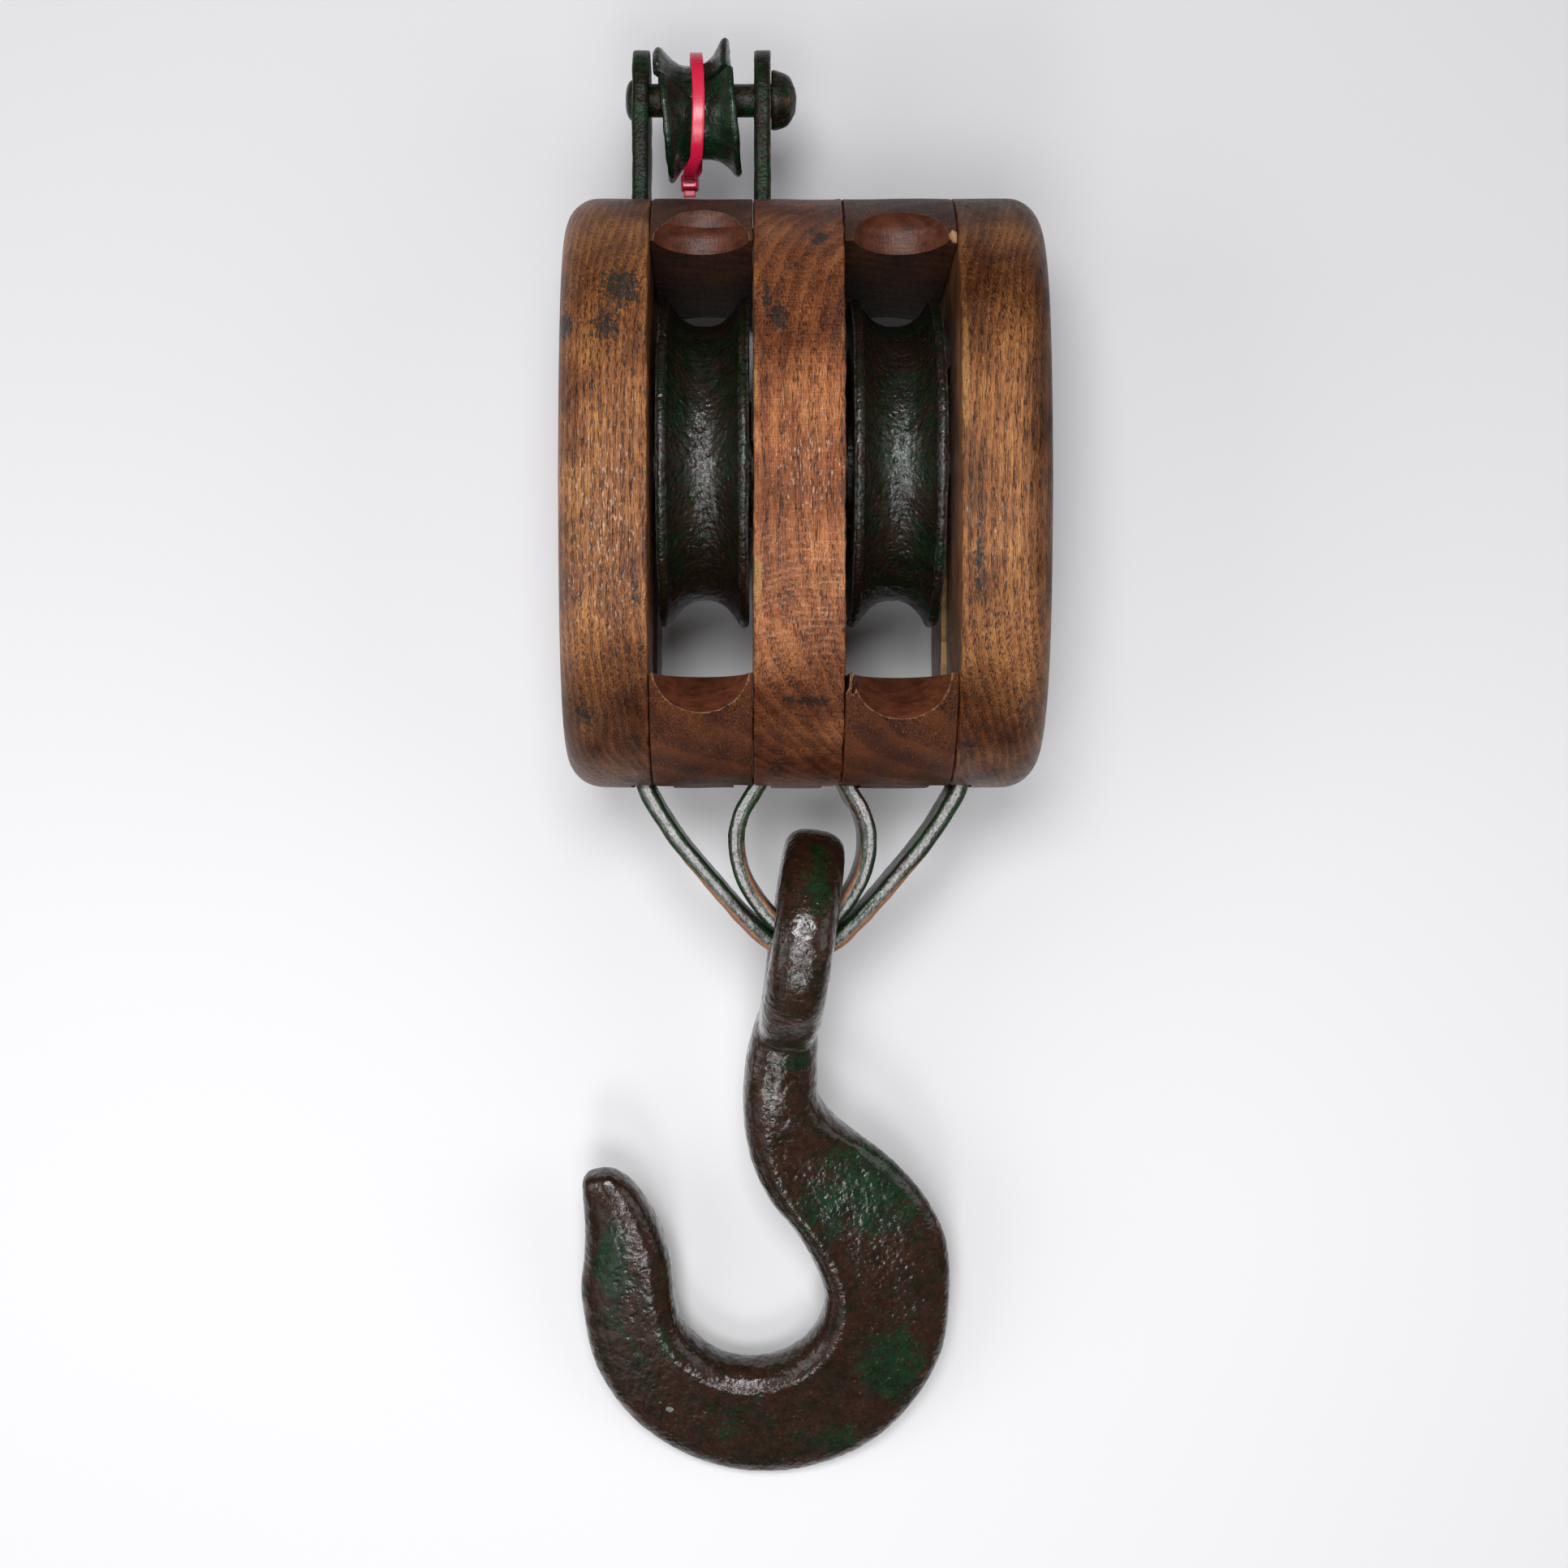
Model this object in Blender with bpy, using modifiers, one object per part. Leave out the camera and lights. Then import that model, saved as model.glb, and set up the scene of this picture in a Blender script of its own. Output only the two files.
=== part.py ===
"""Wooden two-sheave block with inside iron straps, a loose side hook and a becket.

Frame: +X along the axle, +Y from the hook end to the becket end, +Z up from the
surface that the block lies on. Units are metres. The origin is under the middle of
the object's box, on that surface.
"""

import math

import bmesh
import bpy
from mathutils import Matrix, Vector

MM = 0.001
GAP = 0.3 * MM

# Shell: two cheeks and a partition with four spacers between them.
SHELL_LENGTH = 224.7 * MM
SHELL_DEPTH = 150 * MM
SHELL_Y = 107.55 * MM
SHELL_Z = SHELL_DEPTH / 2
SHELL_POWER = 3.0
SHELL_POINTS = 48
CHEEK_OUTER_X = 89.5 * MM
LEFT_SLOT = (-57.0 * MM, -18.7 * MM)
RIGHT_SLOT = (14.3 * MM, 56.0 * MM)
CHEEK_EDGE_R = 12.5 * MM
SLOT_EDGE_R = 1.6 * MM

# Axle and sheaves.
AXLE_Y = 121.1 * MM
AXLE_R = 9.5 * MM
AXLE_HALF = 86.2 * MM
SHEAVE_R = 63.5 * MM
SHEAVE_WIDTH = 36.0 * MM
GROOVE_R = 52.8 * MM
BUSH_R = 14.5 * MM
SPACER_TOP_FRONT = AXLE_Y + 73.8 * MM
SPACER_TOP_BACK = AXLE_Y + 64.4 * MM
SPACER_BOTTOM_FACE = AXLE_Y - 84.1 * MM

# Rope scores in the spacers.
SCORE_HALF_WIDTH = 18.2 * MM
SCORE_DEPTH = 32.0 * MM
SCORE_RISE = 24.0 * MM
SCORE_NOSE_Y = 200.0 * MM
SCORE_NOSE = 10.7 * MM
SCORE_TAIL = 60 * MM
SCOOP_R = 17.6 * MM
SCOOP_DEPTH = 43.0 * MM
SCOOP_SLOPE = math.radians(65)

# Straps.
STRAP_T = 6.35 * MM
STRAP_WIDTH = 38.0 * MM
STRAP_CHANNEL = 42.5 * MM
STRAP_END_Y = AXLE_Y + 32 * MM
NOTCH_HALF = 7.8 * MM
NOTCH_TOP_Y = 8.5 * MM
OUTER_LEGS = (-62.05 * MM, 61.05 * MM)
INNER_LEGS = (-15.25 * MM, 10.85 * MM)

# Becket end.
BECKET_Y = 263.0 * MM
BECKET_PIN_R = 6.35 * MM
EAR_R = STRAP_WIDTH / 2
THIMBLE_X = -40.3 * MM
THIMBLE_LEAN = math.radians(5.5)
THIMBLE_OVAL = (16.5 * MM, 12.9 * MM)
THIMBLE_OFFSET = (-3.9 * MM, -3.4 * MM)
THIMBLE_SEAM = 62.0
THIMBLE_SEAM_GAP = 3.0
TIE_X = -41.3 * MM
TIE_WIDTH = 4.8 * MM
TIE_T = 1.2 * MM
TIE_HEAD = (8.2 * MM, 6.5 * MM, 6.5 * MM)
TIE_HEAD_CENTRE = (TIE_X - 1.0 * MM, BECKET_Y - 28.8 * MM, SHELL_Z - 13.8 * MM)

# Through rivets and the keeper plates over the axle's ends.
RIVET_R = 3.5 * MM
RIVET_Y = (18.0 * MM, 202.6 * MM)
RIVET_Z = (SHELL_Z - 31 * MM, SHELL_Z + 31 * MM)
COUNTERBORE_R = 8.0 * MM
COUNTERBORE_DEPTH = 3.4 * MM
WASHER_R = 7.5 * MM
WASHER_T = 1.2 * MM
KEEPER_LENGTH = 66 * MM
KEEPER_WIDTH = 30 * MM
KEEPER_T = 2.6 * MM
KEEPER_SCREW_Y = (AXLE_Y - 23 * MM, AXLE_Y + 23 * MM)

# Hook, in its own frame: origin at the eye's centre, shank along -Y, flat in XY.
HOOK_CENTRE = (0.0, -63.5 * MM, 73.0 * MM)
HOOK_PITCH = math.radians(16.7)
HOOK_SLEW = math.radians(-8.2)
EYE_R = 33.3 * MM
EYE_RADIAL = 9.8 * MM
EYE_AXIAL = 12.0 * MM
BOWL_CENTRE = (1.0 * MM, -156.0 * MM)
BOWL_R = 30.8 * MM
BACK_CENTRE = (8.0 * MM, -157.6 * MM)
BACK_RADII = (74.0 * MM, 78.8 * MM)

WOOD = ((0.36, 0.16, 0.06), 0.5, 0.0)
DARK_WOOD = ((0.16, 0.06, 0.035), 0.6, 0.0)
GREEN_IRON = ((0.03, 0.09, 0.045), 0.4, 0.6)
BROWN_IRON = ((0.05, 0.04, 0.03), 0.4, 0.6)
BRONZE = ((0.5, 0.35, 0.16), 0.35, 1.0)
STEEL = ((0.32, 0.31, 0.30), 0.45, 1.0)
RED_PLASTIC = ((0.7, 0.02, 0.08), 0.3, 0.0)


def clear_scene():
    for obj in list(bpy.data.objects):
        bpy.data.objects.remove(obj, do_unlink=True)


def new_collection(name):
    collection = bpy.data.collections.new(name)
    bpy.context.scene.collection.children.link(collection)
    return collection


def new_material(name, finish):
    colour, roughness, metallic = finish
    material = bpy.data.materials.new(name)
    material.use_nodes = True
    shader = material.node_tree.nodes["Principled BSDF"]
    shader.inputs["Base Color"].default_value = (*colour, 1.0)
    shader.inputs["Roughness"].default_value = roughness
    shader.inputs["Metallic"].default_value = metallic
    material.diffuse_color = (*colour, 1.0)
    return material


def add_object(name, mesh, finish=None):
    """Links a mesh as a part with its own material, or as a cutter when it has no finish."""
    obj = bpy.data.objects.new(name, mesh)
    if finish is None:
        CUTTERS.objects.link(obj)
        obj.hide_render = True
        obj.display_type = "WIRE"
    else:
        PARTS.objects.link(obj)
        mesh.materials.append(new_material(name, finish))
    return obj


def boolean(obj, other, operation="DIFFERENCE"):
    modifier = obj.modifiers.new(other.name, "BOOLEAN")
    modifier.operation = operation
    modifier.object = other
    modifier.solver = "EXACT"


def shade_round(mesh):
    mesh.shade_smooth()
    mesh.set_sharp_from_angle(angle=math.radians(35))


# ---------------------------------------------------------------- shapes


def mesh_of_curve(name, curve):
    """The closed mesh of a curve, with its caps welded on."""
    holder = bpy.data.objects.new(name, curve)
    bpy.context.scene.collection.objects.link(holder)
    bpy.context.view_layer.update()
    evaluated = holder.evaluated_get(bpy.context.evaluated_depsgraph_get())
    mesh = bpy.data.meshes.new_from_object(evaluated)
    bpy.data.objects.remove(holder, do_unlink=True)
    bm = bmesh.new()
    bm.from_mesh(mesh)
    bmesh.ops.remove_doubles(bm, verts=bm.verts, dist=1e-6)
    bmesh.ops.recalc_face_normals(bm, faces=bm.faces)
    bm.to_mesh(mesh)
    bm.free()
    return mesh


def flat_mesh(name, outline, thickness):
    """Extrudes a closed outline in XY by the thickness, centred on Z = 0."""
    curve = bpy.data.curves.new(name, "CURVE")
    curve.dimensions = "2D"
    curve.fill_mode = "BOTH"
    curve.extrude = thickness / 2
    spline = curve.splines.new("POLY")
    spline.points.add(len(outline) - 1)
    for point, (x, y) in zip(spline.points, outline):
        point.co = (x, y, 0, 1)
    spline.use_cyclic_u = True
    mesh = mesh_of_curve(name, curve)
    bm = bmesh.new()
    bm.from_mesh(mesh)
    inner = [
        edge
        for edge in bm.edges
        if len(edge.link_faces) == 2
        and all(abs(face.normal.z) > 0.99 for face in edge.link_faces)
    ]
    bmesh.ops.dissolve_edges(bm, edges=inner, use_verts=False)
    bm.to_mesh(mesh)
    bm.free()
    return mesh


def side_slab(name, outline, x_low, x_high, finish=None):
    """A slab whose outline is (y, z) points, between two X positions."""
    mesh = flat_mesh(name, outline, x_high - x_low)
    obj = add_object(name, mesh, finish)
    obj.location.x = (x_low + x_high) / 2
    obj.rotation_euler = (math.pi / 2, 0, math.pi / 2)
    return obj


def weight_rims(obj, low_weight, high_weight):
    """Sets the bevel weight of the rim on each face of a slab."""
    mesh = obj.data
    weights = mesh.attributes.new("bevel_weight_edge", "FLOAT", "EDGE")
    for edge in mesh.edges:
        ends = [mesh.vertices[index].co.z for index in edge.vertices]
        if min(ends) > 0:
            weights.data[edge.index].value = high_weight
        elif max(ends) < 0:
            weights.data[edge.index].value = low_weight


def bevel(obj, width, segments, limit="WEIGHT"):
    modifier = obj.modifiers.new("rounded edges", "BEVEL")
    modifier.limit_method = limit
    modifier.width = width
    modifier.segments = segments


def box(name, low, high, finish=None):
    """A box between two corners, from a cube."""
    bm = bmesh.new()
    bmesh.ops.create_cube(bm, size=1.0)
    size = [b - a for a, b in zip(low, high)]
    bmesh.ops.scale(bm, vec=size, verts=bm.verts)
    mesh = bpy.data.meshes.new(name)
    bm.to_mesh(mesh)
    bm.free()
    obj = add_object(name, mesh, finish)
    obj.location = [(a + b) / 2 for a, b in zip(low, high)]
    return obj


def rod(name, radius, length, finish=None, segments=32):
    """A cylinder along its own Z, centred on its origin."""
    bm = bmesh.new()
    bmesh.ops.create_cone(
        bm, cap_ends=True, segments=segments, radius1=radius, radius2=radius, depth=length
    )
    mesh = bpy.data.meshes.new(name)
    bm.to_mesh(mesh)
    bm.free()
    return add_object(name, mesh, finish)


def cross_rod(name, radius, x_low, x_high, y, z, segments=32):
    """A cutter: a cylinder along X."""
    obj = rod(name, radius, x_high - x_low, segments=segments)
    obj.location = ((x_low + x_high) / 2, y, z)
    obj.rotation_euler.y = math.pi / 2
    return obj


def turned(name, profile, finish, steps=32):
    """Turns (radius, along) points, listed from +Z to -Z on the outer side, about Z."""
    bm = bmesh.new()
    verts = [bm.verts.new((radius, 0, along)) for radius, along in profile]
    for first, second in zip(verts, verts[1:]):
        bm.edges.new((first, second))
    if profile[0][0] > 0:
        bm.edges.new((verts[-1], verts[0]))
    mesh = bpy.data.meshes.new(name)
    bm.to_mesh(mesh)
    bm.free()
    obj = add_object(name, mesh, finish)
    screw = obj.modifiers.new("turned", "SCREW")
    screw.axis = "Z"
    screw.steps = steps
    screw.render_steps = steps
    screw.use_merge_vertices = True
    screw.merge_threshold = 0.00001
    screw.use_smooth_shade = True
    return obj


def smooth_path(points, step):
    """Catmull-Rom curve through the points, with about one point for each step."""
    points = [Vector(point) for point in points]
    ends = [2 * points[0] - points[1]] + points + [2 * points[-1] - points[-2]]
    path = []
    for a, b, c, d in zip(ends, ends[1:], ends[2:], ends[3:]):
        count = max(1, round((c - b).length / step))
        for k in range(count):
            t = k / count
            path.append(
                0.5 * (2 * b + t * (c - a) + t * t * (2 * a - 5 * b + 4 * c - d)
                       + t * t * t * (3 * b - a - 3 * c + d))
            )
    path.append(points[-1])
    return path


def ribbon_outline(path, thickness):
    """The closed outline of a bar of even thickness along a flat path."""
    left = []
    right = []
    for index, point in enumerate(path):
        before = path[max(0, index - 1)]
        after = path[min(len(path) - 1, index + 1)]
        along = (after - before).normalized()
        side = Vector((-along.y, along.x)) * thickness / 2
        left.append((point + side)[:2])
        right.append((point - side)[:2])
    return left + right[::-1]


# ---------------------------------------------------------------- wooden shell


def shell_point(angle):
    """A point (y, z) of the shell's superelliptic side view."""
    c = math.cos(angle)
    s = math.sin(angle)
    power = 2 / SHELL_POWER
    y = SHELL_Y + SHELL_LENGTH / 2 * math.copysign(abs(c) ** power, c)
    z = SHELL_Z + SHELL_DEPTH / 2 * math.copysign(abs(s) ** power, s)
    return y, z


def shell_outline():
    return [shell_point(2 * math.pi * k / SHELL_POINTS) for k in range(SHELL_POINTS)]


def end_angle(y):
    """The angle between the shell's end and its outline at a Y position."""
    reach = abs(y - SHELL_Y) / (SHELL_LENGTH / 2)
    return math.acos(reach ** (SHELL_POWER / 2))


def spacer_outline(at_top):
    """The end of the shell's side view beyond the spacer's inner face."""
    if at_top:
        first, last = -end_angle(SPACER_TOP_BACK), end_angle(SPACER_TOP_FRONT)
    else:
        limit = end_angle(SPACER_BOTTOM_FACE)
        first, last = math.pi - limit, math.pi + limit
    count = 20
    return [shell_point(first + (last - first) * k / count) for k in range(count + 1)]


def strap_channel(name, x_low, x_high, y_high):
    half = STRAP_CHANNEL / 2
    low = (x_low, -20 * MM, SHELL_Z - half)
    high = (x_high, y_high, SHELL_Z + half)
    return box(name, low, high)


def stadium(length, width, centre_y, centre_z):
    """A slot outline (y, z) with round ends."""
    radius = width / 2
    points = []
    for end in (0, 1):
        middle = centre_y + (1 - 2 * end) * (length / 2 - radius)
        for k in range(9):
            angle = math.pi * (k / 8 - 0.5 + end)
            points.append((middle + radius * math.cos(angle), centre_z + radius * math.sin(angle)))
    return points


def make_cheek(side):
    """One cheek: side is -1 for the left one, +1 for the right one."""
    name = "cheek_left" if side < 0 else "cheek_right"
    inner_x = LEFT_SLOT[0] if side < 0 else RIGHT_SLOT[1]
    x_low, x_high = sorted((side * CHEEK_OUTER_X, inner_x))
    cheek = side_slab(name, shell_outline(), x_low, x_high, WOOD)
    slot_weight = SLOT_EDGE_R / CHEEK_EDGE_R
    weight_rims(cheek, *((1.0, slot_weight) if side < 0 else (slot_weight, 1.0)))
    bevel(cheek, CHEEK_EDGE_R, 4)
    leg_x = OUTER_LEGS[0] if side < 0 else OUTER_LEGS[1]
    floor_x = leg_x + side * (STRAP_T / 2 + GAP)
    open_x = inner_x - side * 10 * MM
    top_y = SHELL_Y + SHELL_LENGTH if side < 0 else STRAP_END_Y + 3 * MM
    boolean(cheek, strap_channel(name + "_channel", *sorted((floor_x, open_x)), top_y))
    outside = side * (CHEEK_OUTER_X + 10 * MM)
    hole = cross_rod(name + "_axle_hole", AXLE_R + GAP, *sorted((outside, open_x)), AXLE_Y, SHELL_Z)
    boolean(cheek, hole)
    for y in RIVET_Y:
        for z in RIVET_Z:
            label = f"{name}_rivet_{round(y / MM)}_{round(z / MM)}"
            boolean(cheek, cross_rod(label, RIVET_R + GAP, *sorted((outside, open_x)), y, z, 20))
            bottom = side * (CHEEK_OUTER_X - COUNTERBORE_DEPTH)
            bore = cross_rod(label + "_bore", COUNTERBORE_R, *sorted((outside, bottom)), y, z, 24)
            boolean(cheek, bore)
    outline = stadium(KEEPER_LENGTH + 2 * GAP, KEEPER_WIDTH + 2 * GAP, AXLE_Y, SHELL_Z)
    bottom = side * (CHEEK_OUTER_X - KEEPER_T - 2 * GAP)
    boolean(cheek, side_slab(name + "_inlet", outline, *sorted((outside, bottom))))
    for number, y in enumerate(KEEPER_SCREW_Y):
        deep = side * (CHEEK_OUTER_X - 15 * MM)
        hole = cross_rod(f"{name}_screw_{number}", 2.0 * MM + GAP, *sorted((outside, deep)), y, SHELL_Z, 16)
        boolean(cheek, hole)


def make_partition():
    x_low = LEFT_SLOT[1]
    x_high = RIGHT_SLOT[0]
    partition = side_slab("partition", shell_outline(), x_low, x_high, WOOD)
    weight_rims(partition, 1.0, 1.0)
    bevel(partition, SLOT_EDGE_R, 2)
    left_floor = INNER_LEGS[0] + STRAP_T / 2 + GAP
    right_floor = INNER_LEGS[1] - STRAP_T / 2 - GAP
    top_y = SHELL_Y + SHELL_LENGTH
    boolean(partition, strap_channel("partition_left_channel", x_low - 10 * MM, left_floor, top_y))
    top_y = STRAP_END_Y + 3 * MM
    boolean(partition, strap_channel("partition_right_channel", right_floor, x_high + 10 * MM, top_y))
    ends = (x_low - 10 * MM, x_high + 10 * MM)
    boolean(partition, cross_rod("partition_axle_hole", AXLE_R + GAP, *ends, AXLE_Y, SHELL_Z))
    for y in RIVET_Y:
        for z in RIVET_Z:
            label = f"partition_rivet_{round(y / MM)}_{round(z / MM)}"
            boolean(partition, cross_rod(label, RIVET_R + GAP, *ends, y, z, 20))


def cut_score(spacer, middle_x, face):
    """A deep rope score along Y with a round nose; face is +1 on the front, -1 on the back."""
    label = f"{spacer.name}_score_{'front' if face > 0 else 'back'}"
    profile = [(0, SCORE_NOSE)]
    for k in range(1, 8):
        angle = math.pi / 2 * k / 8
        profile.append((math.sin(angle), SCORE_NOSE * math.cos(angle)))
    profile += [(1, 0), (1, -SCORE_TAIL), (0, -SCORE_TAIL)]
    cutter = turned(label, profile, None, 40)
    cutter.scale = (SCORE_HALF_WIDTH, SCORE_RISE, 1)
    cutter.rotation_euler.x = -math.pi / 2
    depth = SHELL_DEPTH / 2 - SCORE_DEPTH + SCORE_RISE
    cutter.location = (middle_x, SCORE_NOSE_Y, SHELL_Z + face * depth)
    boolean(spacer, cutter)


def cut_scoop(spacer, middle_x, face):
    """A short sloping scoop in the mouth of the swallow."""
    label = f"{spacer.name}_scoop_{'front' if face > 0 else 'back'}"
    cutter = rod(label, SCOOP_R, 120 * MM, segments=40)
    lean = math.pi / 2 - SCOOP_SLOPE
    cutter.rotation_euler.x = face * lean
    y = SPACER_BOTTOM_FACE + SCOOP_R * math.cos(lean)
    z = SHELL_DEPTH / 2 - SCOOP_DEPTH + SCOOP_R * math.sin(lean)
    cutter.location = (middle_x, y, SHELL_Z + face * z)
    boolean(spacer, cutter)


def make_spacer(name, slot, at_top):
    spacer = side_slab(name, spacer_outline(at_top), slot[0] + GAP, slot[1] - GAP, DARK_WOOD)
    middle_x = (slot[0] + slot[1]) / 2
    for face in (1, -1):
        if at_top:
            cut_score(spacer, middle_x, face)
        else:
            cut_scoop(spacer, middle_x, face)
    for z in RIVET_Z:
        y = RIVET_Y[1] if at_top else RIVET_Y[0]
        ends = (slot[0] - 5 * MM, slot[1] + 5 * MM)
        boolean(spacer, cross_rod(f"{name}_rivet_{round(z / MM)}", RIVET_R + GAP, *ends, y, z, 20))
    if not at_top:
        half = STRAP_CHANNEL / 2
        for number, x in enumerate(slot):
            low = (x - NOTCH_HALF, -20 * MM, SHELL_Z - half)
            high = (x + NOTCH_HALF, NOTCH_TOP_Y, SHELL_Z + half)
            boolean(spacer, box(f"{name}_notch_{number}", low, high))


def make_shell():
    make_cheek(-1)
    make_cheek(1)
    make_partition()
    make_spacer("spacer_top_left", LEFT_SLOT, True)
    make_spacer("spacer_top_right", RIGHT_SLOT, True)
    make_spacer("spacer_bottom_left", LEFT_SLOT, False)
    make_spacer("spacer_bottom_right", RIGHT_SLOT, False)


# ---------------------------------------------------------------- straps


def make_strap(name, legs, bow):
    """A flat bar bent round the hook's eye: bow lists the right half from the exit to the apex."""
    left_x, right_x = legs
    right = [(x * MM, y * MM) for x, y in bow]
    left = [(-x, y) for x, y in right[:-1]]
    straight_y = 6 * MM
    points = [(left_x, straight_y)] + left + right[::-1] + [(right_x, straight_y)]
    path = smooth_path(points, 4.5 * MM)
    ear_top = BECKET_Y + EAR_R
    path = [Vector((left_x, ear_top))] + path + [Vector((right_x, STRAP_END_Y))]
    strap = add_object(name, flat_mesh(name, ribbon_outline(path, STRAP_T), STRAP_WIDTH), GREEN_IRON)
    strap.location.z = SHELL_Z
    bevel(strap, 0.8 * MM, 1, "ANGLE")
    strap.modifiers[-1].angle_limit = math.radians(60)
    x_low = left_x - STRAP_T
    x_high = left_x + STRAP_T
    reach = EAR_R + 3 * MM
    mould = [(BECKET_Y, SHELL_Z + reach), (BECKET_Y, SHELL_Z + EAR_R)]
    for k in range(1, 12):
        angle = math.pi * k / 12
        y = BECKET_Y + EAR_R * math.sin(angle)
        mould.append((y, SHELL_Z + EAR_R * math.cos(angle)))
    mould += [(BECKET_Y, SHELL_Z - EAR_R), (BECKET_Y, SHELL_Z - reach)]
    mould += [(BECKET_Y + reach, SHELL_Z - reach), (BECKET_Y + reach, SHELL_Z + reach)]
    boolean(strap, side_slab(name + "_ear_mould", mould, x_low, x_high))
    hole = BECKET_PIN_R + GAP
    boolean(strap, cross_rod(name + "_becket_hole", hole, x_low, x_high, BECKET_Y, SHELL_Z))
    for number, x in enumerate(legs):
        ends = (x - STRAP_T, x + STRAP_T)
        boolean(strap, cross_rod(f"{name}_axle_hole_{number}", AXLE_R + GAP, *ends, AXLE_Y, SHELL_Z))


def make_straps():
    outer_bow = [(60.4, -3.5), (56.2, -12), (48, -24.5), (37.3, -37.5), (28.5, -47.8),
                 (20, -57), (11, -64.6), (0, -68.5)]
    inner_bow = [(16, -1.5), (19.3, -7.5), (23.2, -14.5), (25.2, -23), (24.6, -32),
                 (21.5, -41.3), (15.2, -51), (8, -58.2), (0, -61.3)]
    make_strap("outer_strap", OUTER_LEGS, outer_bow)
    make_strap("inner_strap", INNER_LEGS, inner_bow)


# ---------------------------------------------------------------- turned pieces


def sheave_profile():
    """Rim with a round groove, a thinner web and a hub, from +Z round to -Z."""
    half = SHEAVE_WIDTH / 2
    lip = SHEAVE_R - 1.2 * MM
    depth = SHEAVE_R - GROOVE_R
    groove_half = half - 2.6 * MM
    profile = [(BUSH_R + GAP, half), (24 * MM, half), (25.5 * MM, half - 8 * MM)]
    profile += [(43 * MM, half - 8 * MM), (45 * MM, half - 0.6 * MM), (lip, half - 0.6 * MM)]
    profile.append((SHEAVE_R, half - 1.8 * MM))
    for k in range(8):
        angle = math.pi * k / 7
        profile.append((SHEAVE_R - depth * math.sin(angle) ** 0.8, groove_half * math.cos(angle)))
    mirrored = [(radius, -along) for radius, along in profile[:7]]
    return profile + mirrored[::-1]


def place_on_axle(obj, holder, x):
    """Turns a piece made along Z to lie along the axle, under the body's empty."""
    obj.parent = holder
    obj.location.x = x - holder.location.x
    obj.rotation_euler.y = math.pi / 2


def make_sheaves():
    for name, slot in (("left", LEFT_SLOT), ("right", RIGHT_SLOT)):
        middle_x = (slot[0] + slot[1]) / 2 + (0.3 * MM if name == "left" else 0)
        holder = bpy.data.objects.new(name + "_sheave_axis", None)
        PARTS.objects.link(holder)
        holder.location = (middle_x, AXLE_Y, SHELL_Z)
        sheave = turned("sheave_" + name, sheave_profile(), GREEN_IRON, 36)
        place_on_axle(sheave, holder, middle_x)
        half = SHEAVE_WIDTH / 2
        ring = [(AXLE_R + GAP, half), (BUSH_R, half), (BUSH_R, -half), (AXLE_R + GAP, -half)]
        bush = turned("bush_" + name, ring, BRONZE)
        place_on_axle(bush, holder, middle_x)


def make_axle():
    half = AXLE_HALF
    edge = 0.8 * MM
    profile = [(0, half), (AXLE_R - edge, half), (AXLE_R, half - edge)]
    profile += [(AXLE_R, edge - half), (AXLE_R - edge, -half), (0, -half)]
    axle = turned("axle_pin", profile, STEEL)
    axle.location = (0, AXLE_Y, SHELL_Z)
    axle.rotation_euler.y = math.pi / 2


def make_rivets():
    """Through rivets with a washer under each head, sunk in the cheeks' counterbores."""
    seat = CHEEK_OUTER_X - COUNTERBORE_DEPTH + GAP
    head = seat + WASHER_T + GAP
    dome = 1.6 * MM
    profile = [(0, head + dome), (2.6 * MM, head + 0.85 * dome), (5.2 * MM, head)]
    profile += [(RIVET_R, head), (RIVET_R, -head), (5.2 * MM, -head)]
    profile += [(2.6 * MM, -head - 0.85 * dome), (0, -head - dome)]
    ring = [(RIVET_R + GAP, WASHER_T), (WASHER_R, WASHER_T), (WASHER_R, 0), (RIVET_R + GAP, 0)]
    for y, end in zip(RIVET_Y, ("bottom", "top")):
        for z, face in zip(RIVET_Z, ("back", "front")):
            rivet = turned(f"rivet_{end}_{face}", profile, STEEL, 16)
            rivet.location = (0, y, z)
            rivet.rotation_euler.y = math.pi / 2
            for side, hand in ((-1, "left"), (1, "right")):
                washer = turned(f"washer_{end}_{face}_{hand}", ring, STEEL, 16)
                washer.location = (side * seat, y, z)
                washer.rotation_euler.y = side * math.pi / 2


def screw_profile(grow):
    head = 4.0 * MM + grow
    shank = 2.0 * MM + grow
    return [(0, 0.1 * MM + grow), (head, 0.1 * MM + grow), (shank, -2.0 * MM - grow),
            (shank, -12 * MM), (0, -13.5 * MM)]


def make_keepers():
    """Inlaid plates that hold the axle, each with two countersunk screws."""
    for side, hand in ((-1, "left"), (1, "right")):
        outer = side * (CHEEK_OUTER_X - 0.2 * MM)
        inner = outer - side * KEEPER_T
        outline = stadium(KEEPER_LENGTH, KEEPER_WIDTH, AXLE_Y, SHELL_Z)
        plate = side_slab("keeper_plate_" + hand, outline, *sorted((outer, inner)), STEEL)
        for y, end in zip(KEEPER_SCREW_Y, ("bottom", "top")):
            screw = turned(f"keeper_screw_{hand}_{end}", screw_profile(0), STEEL, 16)
            cutter = turned(f"keeper_sink_{hand}_{end}", screw_profile(GAP), None, 16)
            for obj in (screw, cutter):
                obj.location = (outer - side * 0.2 * MM, y, SHELL_Z)
                obj.rotation_euler.y = side * math.pi / 2
            boolean(plate, cutter)


# ---------------------------------------------------------------- becket end


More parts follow.
